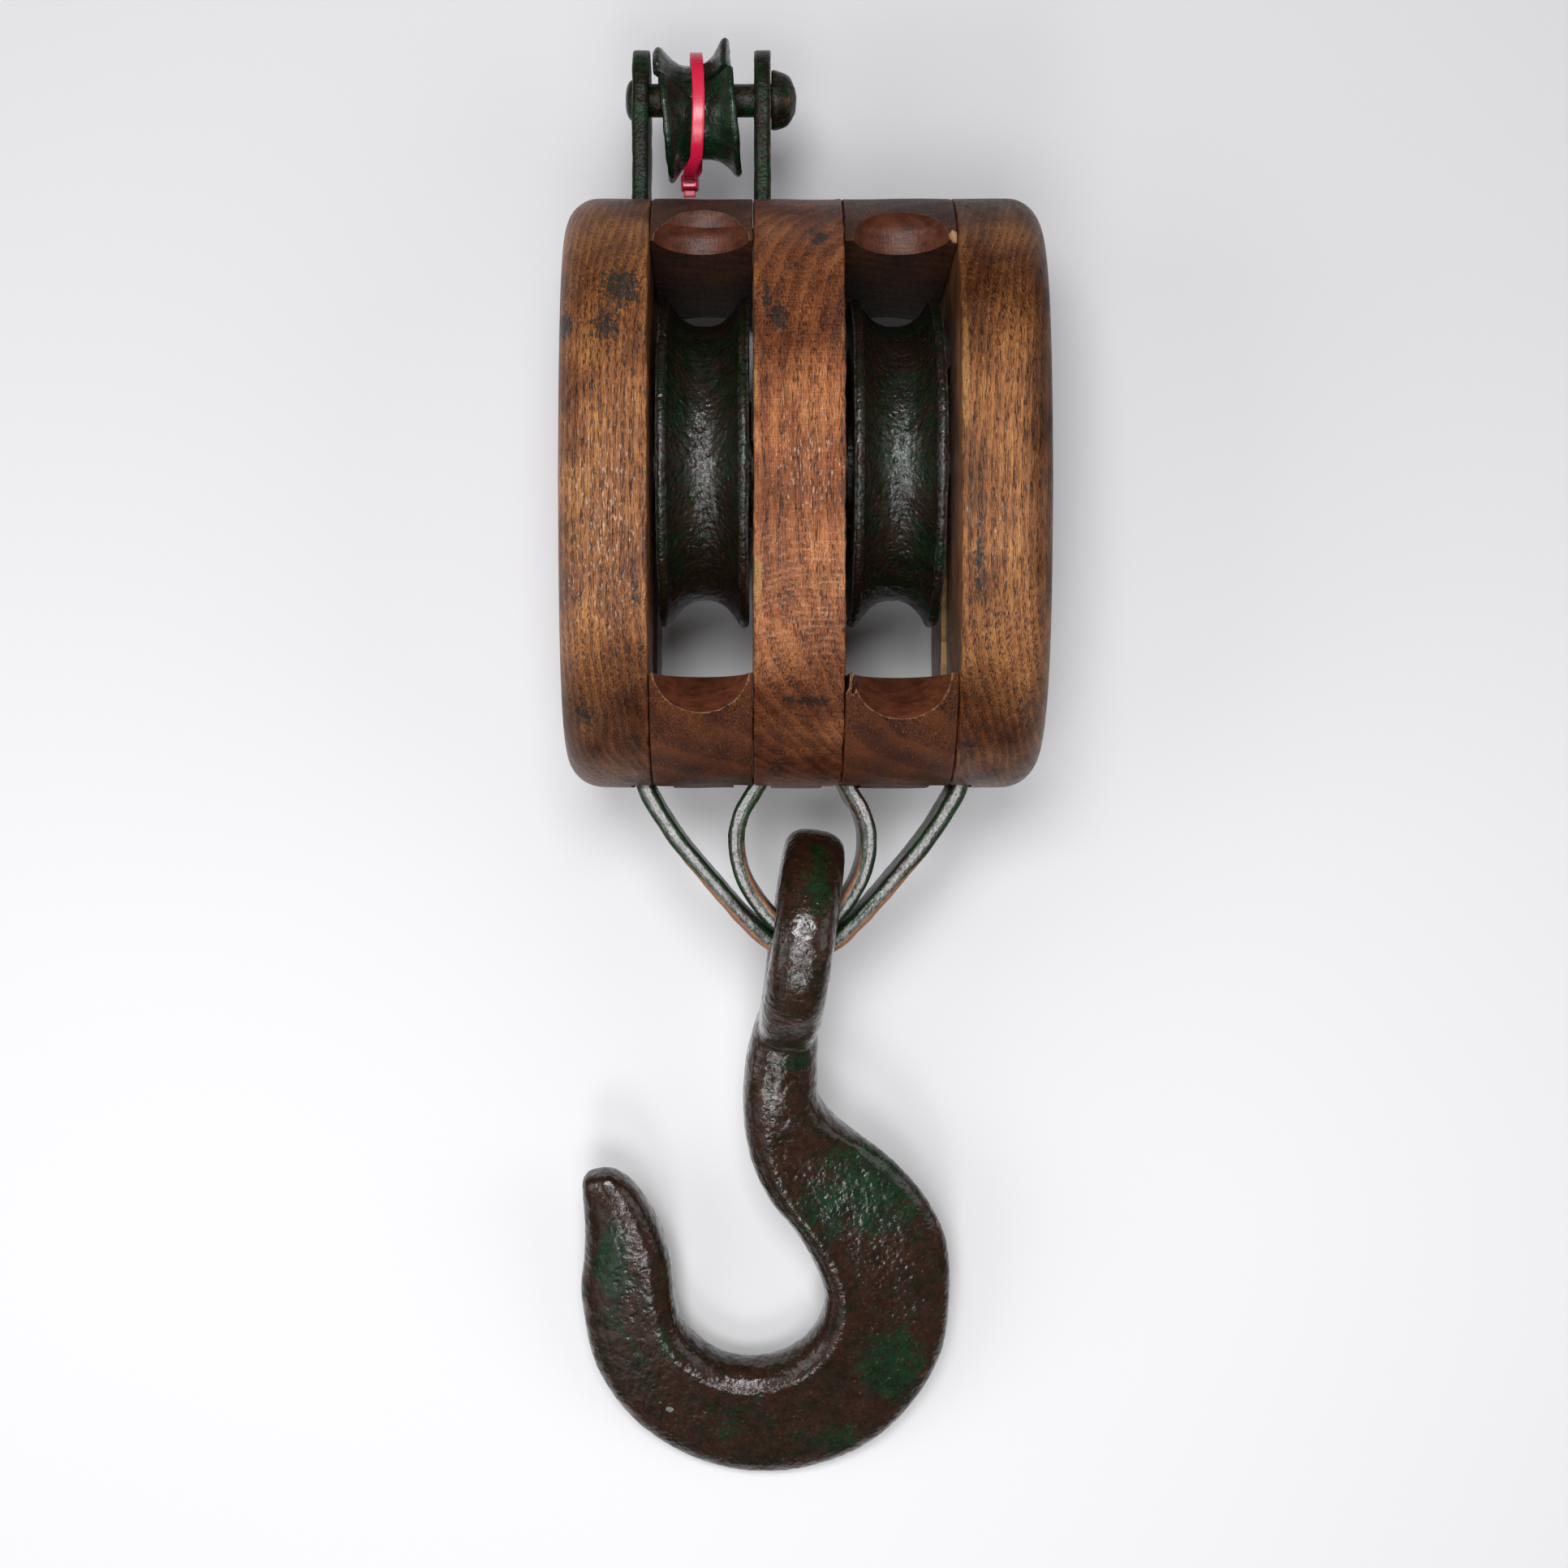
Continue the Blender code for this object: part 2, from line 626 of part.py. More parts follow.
def make_becket_pin():
    """A rivet across the ears: a round head on its right, a small peened one on its left."""
    head_x = INNER_LEGS[0] + STRAP_T / 2 + GAP
    peen_x = OUTER_LEGS[0] - STRAP_T / 2 - GAP
    profile = [(0, head_x + 10 * MM), (5.2 * MM, head_x + 9.3 * MM), (9 * MM, head_x + 6.8 * MM)]
    profile += [(11.2 * MM, head_x + 3.2 * MM), (11.4 * MM, head_x), (BECKET_PIN_R, head_x)]
    profile += [(BECKET_PIN_R, peen_x), (8 * MM, peen_x), (7.4 * MM, peen_x - 1.7 * MM)]
    profile += [(5 * MM, peen_x - 2.7 * MM), (0, peen_x - 3 * MM)]
    pin = turned("becket_pin", profile, BROWN_IRON, 28)
    pin.location = (0, BECKET_Y, SHELL_Z)
    pin.rotation_euler.y = math.pi / 2


def swept(name, path, section, finish):
    """Sweeps a closed section along a flat open path; the path's XY is the object's own XY."""
    guide = bpy.data.curves.new(name + "_section", "CURVE")
    guide.dimensions = "2D"
    spline = guide.splines.new("POLY")
    spline.points.add(len(section) - 1)
    for point, (x, y) in zip(spline.points, section):
        point.co = (x, y, 0, 1)
    spline.use_cyclic_u = True
    guide_object = bpy.data.objects.new(name + "_section", guide)
    CUTTERS.objects.link(guide_object)
    curve = bpy.data.curves.new(name, "CURVE")
    curve.dimensions = "2D"
    curve.fill_mode = "NONE"
    curve.bevel_mode = "OBJECT"
    curve.bevel_object = guide_object
    curve.use_fill_caps = True
    spline = curve.splines.new("POLY")
    spline.points.add(len(path) - 1)
    for point, place in zip(spline.points, path):
        point.co = (place[0], place[1], 0, 1)
    mesh = mesh_of_curve(name, curve)
    bpy.data.objects.remove(guide_object, do_unlink=True)
    return add_object(name, mesh, finish)


def thimble_path():
    """An oval round the pin, from one side of the seam to the other, as (y, z) from the pin."""
    count = 32
    path = []
    for k in range(count + 1):
        angle = math.radians(THIMBLE_SEAM + (360 - THIMBLE_SEAM_GAP) * k / count)
        y = THIMBLE_OVAL[0] * math.cos(angle) + THIMBLE_OFFSET[0]
        z = THIMBLE_OVAL[1] * math.sin(angle) + THIMBLE_OFFSET[1]
        path.append(Vector((y, z, 0)))
    return path


def thimble_section():
    """A trough across the oval: its hollow side faces away from the pin."""
    outside = []
    inside = []
    for k in range(-4, 5):
        across = k / 4
        rise = 9.4 * MM * abs(across) ** 2.2
        outside.append((rise + 2.0 * MM, across * 13.6 * MM))
        inside.append((rise - 2.0 * MM * (1 - 0.3 * abs(across)), across * 14.6 * MM))
    return outside + inside[::-1]


def place_on_becket(obj, holder):
    obj.parent = holder
    obj.rotation_euler = (math.pi / 2, 0, math.pi / 2)


def make_thimble():
    """A rope thimble bent from a trough, with its seam at the becket end."""
    holder = bpy.data.objects.new("thimble_axis", None)
    PARTS.objects.link(holder)
    holder.location = (THIMBLE_X, BECKET_Y, SHELL_Z)
    holder.rotation_euler.z = THIMBLE_LEAN
    thimble = swept("thimble", thimble_path(), thimble_section(), GREEN_IRON)
    shade_round(thimble.data)
    place_on_becket(thimble, holder)


def make_cable_tie():
    """A strap round the thimble's groove, through its head and out as a short tail."""
    holder = bpy.data.objects.new("cable_tie_axis", None)
    PARTS.objects.link(holder)
    holder.location = (TIE_X, BECKET_Y, SHELL_Z)
    route = [(-28.3, -12.9), (-28.5, -8), (-27.6, -2), (-24.2, 5.4), (-17.6, 11), (-8, 13.7), (4, 13.4),
             (10.2, 11.7), (15.7, 6.4), (18.2, -2), (16.4, -10), (8.8, -18.1), (-4, -21.4), (-14, -20.2),
             (-20, -17.2), (-25, -15.1), (-34, -14.9)]
    path = smooth_path([(y * MM, z * MM, 0) for y, z in route], 2.5 * MM)
    half_width = TIE_WIDTH / 2
    half_t = TIE_T / 2
    section = [(-half_t, -half_width), (half_t, -half_width), (half_t, half_width), (-half_t, half_width)]
    tie = swept("cable_tie", path, section, RED_PLASTIC)
    place_on_becket(tie, holder)
    low = [centre - size / 2 for centre, size in zip(TIE_HEAD_CENTRE, TIE_HEAD)]
    high = [centre + size / 2 for centre, size in zip(TIE_HEAD_CENTRE, TIE_HEAD)]
    boolean(tie, box("cable_tie_head", low, high), "UNION")


# ---------------------------------------------------------------- hook


def hook_stations():
    """(inner point, outer point, thickness) along the hook, in millimetres."""
    stations = [
        ((-8, -31), (8, -31), 16),
        ((-12.3, -44), (13.5, -44), 24),
        ((-13.4, -56), (15, -56), 26),
        ((-12.8, -69), (16.5, -66), 26),
        ((-10.4, -83), (27, -75.5), 25),
        ((-5.2, -98), (46, -86.5), 24),
        ((4.2, -112.6), (63, -101.5), 24),
        ((14.8, -122.8), (74.4, -118.5), 24),
    ]
    bowl_x, bowl_y = (value / MM for value in BOWL_CENTRE)
    back_x, back_y = (value / MM for value in BACK_CENTRE)
    for k in range(9):
        inner_angle = math.radians(38 - 26.5 * k)
        outer_angle = math.radians(15 - 23.5 * k)
        inner = (bowl_x + BOWL_R / MM * math.cos(inner_angle), bowl_y + BOWL_R / MM * math.sin(inner_angle))
        outer = (back_x + BACK_RADII[0] / MM * math.cos(outer_angle),
                 back_y + BACK_RADII[1] / MM * math.sin(outer_angle))
        stations.append((inner, outer, 24 - 0.25 * k))
    stations += [
        ((-33.4, -144), (-66.8, -149), 21.5),
        ((-41.5, -128.5), (-68.2, -134), 20),
        ((-51, -115.6), (-70.6, -122.5), 17),
        ((-59, -110.4), (-71.6, -116), 13),
        ((-64.5, -109.8), (-70.4, -112.3), 7),
    ]
    return stations


def hook_section(inner, outer, thickness):
    """Twelve points round a section: full on the bowl's side, thinner at the back."""
    inner = Vector(inner)
    outer = Vector(outer)
    full = thickness / 2
    width = (outer - inner).length
    flat = min(1.0, 26 / width)
    thin = full * (0.45 + 0.5 * flat)
    shape = [(0, 0.3 * full), (0.1 * flat, 0.75 * full), (0.3 * flat, full), (0.45, full * 0.93),
             (0.8, thin * 0.98), (0.95, thin * 0.72), (1.0, 0.25 * thin)]
    upper = [(*(inner.lerp(outer, along)), height) for along, height in shape]
    lower = [(x, y, -height) for x, y, height in upper[::-1]]
    return upper + lower


def make_hook():
    """The body is lofted between unlike sections, and the eye is a turned ring joined to it."""
    bm = bmesh.new()
    rings = []
    for inner, outer, thickness in hook_stations():
        ring = [bm.verts.new(Vector(point) * MM) for point in hook_section(inner, outer, thickness)]
        rings.append(ring)
    for ring, following in zip(rings, rings[1:]):
        for k in range(len(ring)):
            nxt = (k + 1) % len(ring)
            bm.faces.new((ring[k], ring[nxt], following[nxt], following[k]))
    bm.faces.new(rings[0])
    bm.faces.new(rings[-1][::-1])
    bmesh.ops.recalc_face_normals(bm, faces=bm.faces)
    mesh = bpy.data.meshes.new("hook")
    bm.to_mesh(mesh)
    bm.free()
    shade_round(mesh)
    hook = add_object("hook", mesh, BROWN_IRON)
    profile = []
    for k in range(12):
        angle = math.pi / 2 - 2 * math.pi * k / 12
        profile.append((EYE_R + EYE_RADIAL * math.cos(angle), EYE_AXIAL * math.sin(angle)))
    eye = turned("hook_eye", profile, None, 32)
    eye.matrix_world = hook_matrix() @ Matrix.Rotation(math.pi / 2, 4, "Y")
    hook.matrix_world = hook_matrix()
    boolean(hook, eye, "UNION")


def hook_matrix():
    turn = Matrix.Rotation(HOOK_SLEW, 4, "Z") @ Matrix.Rotation(HOOK_PITCH, 4, "X")
    return Matrix.Translation(HOOK_CENTRE) @ turn


clear_scene()
PARTS = new_collection("double_block")
CUTTERS = new_collection("cutters")
make_shell()
make_straps()
make_sheaves()
make_axle()
make_rivets()
make_keepers()
make_becket_pin()
make_thimble()
make_cable_tie()
make_hook()
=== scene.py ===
"""The looks of the two-sheave block: worn varnished wood, painted iron, a red plastic tie."""

import math

import bmesh
import bpy
import numpy as np
from mathutils import Matrix, Vector, noise


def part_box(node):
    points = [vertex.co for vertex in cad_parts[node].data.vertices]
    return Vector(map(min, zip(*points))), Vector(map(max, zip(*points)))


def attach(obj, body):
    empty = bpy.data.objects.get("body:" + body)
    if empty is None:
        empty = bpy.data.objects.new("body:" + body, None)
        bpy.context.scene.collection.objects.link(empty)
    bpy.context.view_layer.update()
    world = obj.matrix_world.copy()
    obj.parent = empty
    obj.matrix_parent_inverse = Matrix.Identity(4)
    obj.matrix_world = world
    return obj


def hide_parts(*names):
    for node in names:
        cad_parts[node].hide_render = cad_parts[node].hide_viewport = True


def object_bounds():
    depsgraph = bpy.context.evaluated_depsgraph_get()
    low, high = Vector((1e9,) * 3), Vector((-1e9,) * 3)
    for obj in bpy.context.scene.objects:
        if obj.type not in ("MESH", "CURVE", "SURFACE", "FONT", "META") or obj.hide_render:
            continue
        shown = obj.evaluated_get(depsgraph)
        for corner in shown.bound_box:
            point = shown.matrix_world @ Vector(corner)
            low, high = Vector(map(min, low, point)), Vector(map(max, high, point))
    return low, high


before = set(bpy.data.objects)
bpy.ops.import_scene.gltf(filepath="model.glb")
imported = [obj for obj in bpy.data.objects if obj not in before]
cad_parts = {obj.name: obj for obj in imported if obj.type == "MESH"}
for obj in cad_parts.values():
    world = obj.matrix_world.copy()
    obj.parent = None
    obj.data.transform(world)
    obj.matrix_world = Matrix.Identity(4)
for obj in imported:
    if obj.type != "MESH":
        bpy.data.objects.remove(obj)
cad_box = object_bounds()

MM = 0.001
SHELL_POWER = 3.0
STRAP_T = 6.35 * MM
STRAP_HALF = 19.0 * MM
# The gap between a strap and the wood or pin beside it.
GAP = 0.3 * MM
# Half a strap channel's width, and the half width and the top of the notches at the shell's foot.
CHANNEL_HALF = 21.25 * MM
NOTCH_HALF = 7.8 * MM
NOTCH_TOP_Y = 8.5 * MM
# The lower scoops' radius, and half the depth over which the top spacers' undersides slope.
SCOOP_R = 17.6 * MM
SLOPE_HALF = 63 * MM
# Rims under this radius are cut in fewer steps.
SMALL_ROUND = 4 * MM
# Edges that turn by more degrees than this are shaded sharp.
SHARP_ANGLE = 38
CHEEK_EDGE_R = 12.5 * MM
SLOT_EDGE_R = 1.0 * MM
SKIN = 0.15 * MM


# ---------------------------------------------------------------- places, from the CAD parts


def middle(node):
    low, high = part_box(node)
    return (low + high) / 2


SHELL_LOW, SHELL_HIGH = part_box("partition")
SHELL_Y = (SHELL_LOW.y + SHELL_HIGH.y) / 2
SHELL_Z = (SHELL_LOW.z + SHELL_HIGH.z) / 2
HALF_Y = (SHELL_HIGH.y - SHELL_LOW.y) / 2
HALF_Z = (SHELL_HIGH.z - SHELL_LOW.z) / 2
LEFT_SLOT = (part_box("cheek_left")[1].x, SHELL_LOW.x)
RIGHT_SLOT = (SHELL_HIGH.x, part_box("cheek_right")[0].x)
CHEEK_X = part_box("cheek_right")[1].x
AXLE = middle("axle_pin")
BECKET = middle("becket_pin")
TOP_FACE_FRONT = AXLE.y + 73.8 * MM
TOP_FACE_BACK = AXLE.y + 64.4 * MM
BOTTOM_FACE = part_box("spacer_bottom_left")[1].y
STRAP_END_Y = AXLE.y + 32 * MM
OUTER_LEGS = (-62.05 * MM, 61.05 * MM)
INNER_LEGS = (-15.25 * MM, 10.85 * MM)


# ---------------------------------------------------------------- node materials


class Wire:
    """A number inside a material, so that shader sums read like ordinary ones."""

    def __init__(self, shader, socket):
        self.shader = shader
        self.socket = socket

    def __add__(self, other):
        return self.shader.math("ADD", self, other)

    def __mul__(self, other):
        return self.shader.math("MULTIPLY", self, other)

    def __sub__(self, other):
        return self.shader.math("SUBTRACT", self, other)

    def __rsub__(self, other):
        return self.shader.math("SUBTRACT", other, self)


class Shader:
    """Builds one Principled material from short calls."""

    def __init__(self, name):
        self.material = bpy.data.materials.new(name)
        self.material.use_nodes = True
        self.tree = self.material.node_tree
        self.out = self.tree.nodes["Principled BSDF"]
        coords = self.tree.nodes.new("ShaderNodeTexCoord")
        self.place = self.vector("SCALE", coords.outputs["Object"], 1000.0)

    def link(self, source, socket):
        if isinstance(source, (int, float)):
            socket.default_value = source
        elif isinstance(source, tuple):
            socket.default_value = (*source, 1.0) if socket.type == "RGBA" else source
        else:
            self.tree.links.new(source.socket if isinstance(source, Wire) else source, socket)

    def make(self, kind, inputs, **settings):
        node = self.tree.nodes.new("ShaderNode" + kind)
        for name, value in settings.items():
            setattr(node, name, value)
        for name, value in inputs.items():
            self.link(value, node.inputs[name])
        return node

    def vector(self, operation, first, second):
        other = "Scale" if operation == "SCALE" else 1
        return self.make("VectorMath", {0: first, other: second}, operation=operation).outputs[0]

    def math(self, operation, first, second=0.0):
        return Wire(self, self.make("Math", {0: first, 1: second}, operation=operation).outputs[0])

    def axis(self, letter):
        return Wire(self, self.make("SeparateXYZ", {0: self.place}).outputs[letter])

    def texture(self, kind, cell, output, **inputs):
        cell = cell if isinstance(cell, tuple) else (cell, cell, cell)
        scaled = self.vector("MULTIPLY", self.place, tuple(1 / c for c in cell))
        return Wire(self, self.make(kind, {"Vector": scaled, "Scale": 1.0, **inputs}).outputs[output])

    def noise(self, cell, detail=3.0, rough=0.55, warp=0.0):
        """Noise whose cell size in millimetres is one number, or one for each axis."""
        return self.texture("TexNoise", cell, "Fac", Detail=detail, Roughness=rough, Distortion=warp)

    def attribute(self, name):
        return Wire(self, self.make("Attribute", {}, attribute_name=name).outputs["Fac"])

    def step(self, value, low, high, top=1.0):
        """A smooth ramp from 0 to top between two values."""
        inputs = {"Value": value, "From Min": low, "From Max": high, "To Max": top}
        return Wire(self, self.make("MapRange", inputs, interpolation_type="SMOOTHSTEP").outputs["Result"])

    def ramp(self, value, stops):
        node = self.make("ValToRGB", {"Fac": value})
        elements = node.color_ramp.elements
        while len(elements) < len(stops):
            elements.new(0.5)
        for element, (position, colour) in zip(elements, stops):
            element.position = position
            element.color = (*colour, 1.0)
        return node.outputs["Color"]

    def mix(self, factor, first, second):
        return self.make("Mix", {"Factor": factor, "A": first, "B": second},
                         data_type="RGBA").outputs["Result"]

    def bump(self, height, distance, normal=None):
        """Bump from a height, where distance in millimetres is a height of 1."""
        node = self.make("Bump", {"Distance": distance * MM, "Height": height})
        if normal is not None:
            self.link(normal, node.inputs["Normal"])
        return node.outputs["Normal"]

    def set(self, **inputs):
        for name, value in inputs.items():
            self.link(value, self.out.inputs[name.replace("_", " ")])
        return self.material


def dim(colour, factor):
    return tuple(c * factor for c in colour)


def wood(name, tones, seed, period=3.2, tilt=0.35, gloss=0.27, gold=(0.56, 0.27, 0.07),
         cross=0.0, shine=0.46, lacquer=0.0):
    """Varnished ring-porous timber with the grain along Y, speckled stains and rubbed golden edges, with
    painted glints, a painted sheen, painted highlights along cut rims and painted shade toward the shell's
    ends.
    """
    s = Shader(name)
    dark, mid, light = tones
    s.place = s.vector("ADD", s.place, dim((37.0, 91.0, 53.0), seed))
    across = s.axis("X") * math.cos(tilt) + s.axis("Z") * math.sin(tilt)
    bend = s.noise((40, 260, 40), 2.0) * 16.0
    wobble = s.noise((5, 60, 5), 3.0) * 1.6
    ring = s.math("FRACT", s.math("DIVIDE", across + bend + wobble, period))
    band = s.step(ring, 0.0, 0.12) * (1.0 - s.step(ring, 0.3, 0.95))
    fibre = s.noise((0.42, 11, 0.42), 4.0, 0.72)
    patch = s.noise((17, 30, 17), 5.0, 0.65, 0.3)
    tone = fibre * 0.5 + patch * 0.62 - band * 0.06
    colour = s.ramp(tone, [(0.38, dark), (0.53, mid), (0.71, light)])
    dash = s.step(s.noise((0.36, 4.6, 0.36), 2.0, 0.6), 0.53, 0.60) * (band * 0.7 + 0.34)
    colour = s.mix(dash * 0.85, colour, dim(dark, 0.3))
    # Real rubbed wear from the wear attribute, and a painted highlight along cut rims from the rim
    # attribute; both turn the wood gold.
    rubbed = s.attribute("wear") + s.attribute("rim")
    worn = s.step(rubbed * (s.noise((4, 9, 4), 4.0, 0.65) + 0.35), 0.42, 0.66, 0.9)
    colour = s.mix(worn, colour, s.mix(fibre, dim(gold, 0.5), gold))
    # Painted sheen: the sheen attribute, high on the partition's ridge crests, lightens them toward a pale
    # tone.
    pale = tuple(0.16 + 0.75 * c for c in light)
    colour = s.mix(s.attribute("sheen") * 0.46, colour, pale)
    blot = s.attribute("stain") * 0.74 + s.noise((1.7, 2.6, 1.7), 5.0, 0.75) * 1.7
    colour = s.mix(s.step(blot, 1.16, 1.4, 0.9), colour, STAIN)
    freckle = s.step(s.noise(1.6, 3.0, 0.7), 0.66, 0.74, 0.5)
    colour = s.mix(freckle, colour, dim(dark, 0.35))
    # Painted glints: pale flecks, denser where the glint-area attribute is high, stand in for the varnish's
    # sparkle.
    glint = s.noise((0.7, 2.8, 0.7), 3.0) + s.attribute("glow") * 0.13
    colour = s.mix(s.step(glint, 0.68, 0.76, 0.55), colour, (0.66, 0.52, 0.38))
    # Painted shade with some grime: the shade attribute darkens the colour, and below it dulls the gloss,
    # toward the shell's ends.
    shade = s.attribute("shade") * (s.noise((9, 16, 9), 4.0, 0.6) + 0.5)
    colour = s.mix(shade, colour, s.vector("MULTIPLY", colour, (0.26, 0.20, 0.17)))
    height = fibre * 0.6 - dash + s.noise((0.9, 2.2, 0.9), 4.0, 0.7) * 0.8
    normal = s.bump(s.noise((5, 11, 5), 4.0, 0.6), 0.9, s.bump(height, 0.6))
    if cross:
        normal = s.bump(s.noise((22, 1.3, 6), 3.0, 0.6, 0.5), cross, normal)
    rough = s.noise((1.4, 7, 1.4), 4.0, 0.7) * 0.5 + (gloss - 0.16)
    return s.set(Base_Color=colour, Roughness=rough, Normal=normal,
                 Specular_IOR_Level=shine - shade * (0.7 * shine),
                 Coat_Weight=lacquer - shade * (0.8 * lacquer), Coat_Roughness=0.2,
                 Coat_Normal=s.bump(height, 0.9))


def scored_wood(name, base, rough):
    """Wood laid bare by a cut or polished by rope."""
    s = Shader(name)
    fibre = s.noise((0.5, 6, 1.6), 4.0, 0.6)
    rub = s.noise((7, 3, 7), 4.0, 0.6)
    colour = s.mix(s.step(rub, 0.35, 0.7), base, dim(base, 0.45))
    colour = s.mix(s.step(fibre, 0.5, 0.75, 0.6), colour, dim(base, 0.35))
    # Painted glints: small pale flecks.
    glint = s.step(s.noise((1.2, 0.7, 1.2), 3.0), 0.68, 0.76, 0.3)
    colour = s.mix(glint, colour, (0.42, 0.28, 0.2))
    normal = s.bump(fibre + rub * 1.6, 0.25)
    return s.set(Base_Color=colour, Roughness=rough, Normal=normal, Specular_IOR_Level=0.4)


def raw_wood():
    """The pale inside of a fresh chip."""
    s = Shader("raw_wood")
    fibre = s.noise((0.4, 7, 0.4), 3.0, 0.6)
    colour = s.mix(fibre, (0.5, 0.3, 0.15), (0.24, 0.11, 0.05))
    return s.set(Base_Color=colour, Roughness=0.8, Normal=s.bump(fibre, 0.4))


def painted_iron(name, green, brown, seed, green_share=0.5, pebble=1.6, depth=0.25, gloss=0.24,
                 bare=(0.40, 0.39, 0.37), fleck=0.5, shine=0.5, enamel=0.0):
    """Thick old enamel over iron: rub it by the wear attribute, brown it by the rust attribute."""
    s = Shader(name)
    s.place = s.vector("ADD", s.place, dim((71.0, 29.0, 47.0), seed))
    cloud = s.noise(26, 7.0, 0.75, 0.6) * 0.72 + s.noise(3.4, 6.0,
                                                         0.78) * 0.28 + s.attribute("tint") * 0.1
    share = 0.60 - 0.18 * green_share
    colour = s.mix(s.step(cloud, share - 0.05, share + 0.05), brown, green)
    fine = s.step(s.noise(2.0, 5.0, 0.75), 0.42, 0.68, 0.75)
    colour = s.mix(fine, colour, dim(brown, 0.35))
    sooty = s.step(s.noise(11, 6.0, 0.75, 0.5), 0.42, 0.62, 0.72)
    colour = s.mix(sooty, colour, tuple(0.16 * (a + b) for a, b in zip(green, brown)))
    colour = s.mix(s.step(s.noise(1.5, 4.0, 0.7), 0.60, 0.70, fleck), colour, RUST)
    colour = s.mix(s.step(s.noise(0.9, 2.0), 0.74, 0.80, 0.4), colour, (0.42, 0.30, 0.22))
    rusted = s.step(s.attribute("rust") * (s.noise(3.6, 5.0, 0.7) + 0.35), 0.42, 0.62)
    colour = s.mix(rusted * 0.9, colour, s.mix(s.noise(1.2, 3.0), RUST, (0.34, 0.17, 0.085)))
    bared = s.step(s.attribute("wear") + s.noise((1.6, 2.4, 1.6), 4.0, 0.7) * 0.7, 0.86, 1.06)
    silver = s.mix(s.step(s.noise(0.8, 3.0), 0.35, 0.7), bare, dim(bare, 0.4))
    colour = s.mix(bared, colour, silver)
    pits = s.step(s.texture("TexVoronoi", pebble * 1.6, "Distance"), 0.05, 0.5, 0.5)
    normal = s.bump(s.noise(pebble, 3.0, 0.6) + pits, depth)
    normal = s.bump(s.noise(8, 3.0), depth * 2.0, normal)
    rough = s.noise(3, 5.0, 0.75) * 0.36 + gloss + rusted * 0.2
    film = s.step(s.noise(5, 5.0, 0.7), 0.36, 0.6, enamel)
    return s.set(Base_Color=colour, Roughness=rough, Normal=normal, Specular_IOR_Level=shine,
                 Coat_Weight=film, Coat_Roughness=0.14, Coat_Normal=normal)


def bare_metal(name, light, dark, rough):
    """Aged bare metal with fine scratches and dull spots."""
    s = Shader(name)
    cloud = s.noise(5, 5.0, 0.65)
    scratch = s.noise((0.3, 6, 6), 2.0)
    colour = s.mix(s.step(cloud, 0.35, 0.65), light, dark)
    colour = s.mix(s.step(scratch, 0.55, 0.75, 0.4), colour, dim(dark, 0.5))
    return s.set(Base_Color=colour, Roughness=cloud * 0.3 + rough, Metallic=0.85,
                 Normal=s.bump(cloud + scratch, 0.12))


def tie_plastic():
    s = Shader("tie_plastic")
    colour = s.mix(s.noise(14, 2.0), (0.62, 0.012, 0.055), (0.5, 0.008, 0.04))
    scuff = s.noise((1.2, 5, 1.2), 3.0)
    return s.set(Base_Color=colour, Roughness=scuff * 0.14 + 0.2, Normal=s.bump(scuff, 0.03),
                 Subsurface_Weight=0.08, Subsurface_Radius=(0.002, 0.0006, 0.0006))


def backdrop():
    """Pale paper with painted shade: a little darker toward the becket's end."""
    s = Shader("backdrop")
    colour = s.mix(s.noise(420, 2.0), (0.80, 0.80, 0.815), (0.77, 0.77, 0.785))
    # Painted shade: darker toward the becket's end.
    colour = s.mix(s.step(s.axis("Y"), -260.0, 330.0), colour, (0.68, 0.68, 0.70))
    return s.set(Base_Color=colour, Roughness=0.75, Specular_IOR_Level=0.25)


STAIN = (0.022, 0.018, 0.013)
RUST = (0.13, 0.045, 0.022)

CHEEK_WOOD = wood("cheek_wood", ((0.085, 0.022, 0.004), (0.27, 0.086, 0.014), (0.57, 0.25, 0.068)), 1.0,
                  lacquer=0.3)
PARTITION_WOOD = wood("partition_wood", ((0.11, 0.026, 0.005), (0.29, 0.076, 0.013),
                                         (0.56, 0.215, 0.065)),
                      2.0, period=4.2, tilt=0.9, cross=0.6, lacquer=0.32)
SPACER_WOOD = wood("spacer_wood", ((0.025, 0.009, 0.005), (0.062, 0.020, 0.009), (0.12, 0.042, 0.017)),
                   3.0, period=9.0, tilt=1.2, gloss=0.36, gold=(0.30, 0.16, 0.08), shine=0.22)
FOOT_WOOD = wood("foot_wood", ((0.034, 0.008, 0.003), (0.084, 0.022, 0.005), (0.15, 0.042, 0.010)),
                 4.0, period=11.0, tilt=1.2, gloss=0.34, gold=(0.30, 0.16, 0.08), shine=0.2)
CHANNEL_WOOD = scored_wood("channel_wood", (0.045, 0.018, 0.010), 0.8)
LEDGE_WOOD = scored_wood("ledge_wood", (0.55, 0.30, 0.09), 0.45)
SCORE_WOOD = scored_wood("score_wood", (0.11, 0.033, 0.017), 0.38)
SCOOP_WOOD = scored_wood("scoop_wood", (0.24, 0.07, 0.032), 0.34)
RAW_WOOD = raw_wood()
SHEAVE_IRON = painted_iron("sheave_iron", (0.003, 0.017, 0.006), (0.017, 0.009, 0.005), 1.0, 0.42,
                           pebble=1.6, depth=0.42, gloss=0.17, bare=(0.10, 0.10, 0.10), fleck=0.35,
                           shine=0.36,
                           enamel=0.55)
STRAP_IRON = painted_iron("strap_iron", (0.005, 0.032, 0.010), (0.026, 0.011, 0.007), 2.0, 0.8,
                          pebble=1.2, depth=0.2, gloss=0.14, bare=(0.30, 0.295, 0.285), shine=0.3,
                          enamel=0.4)
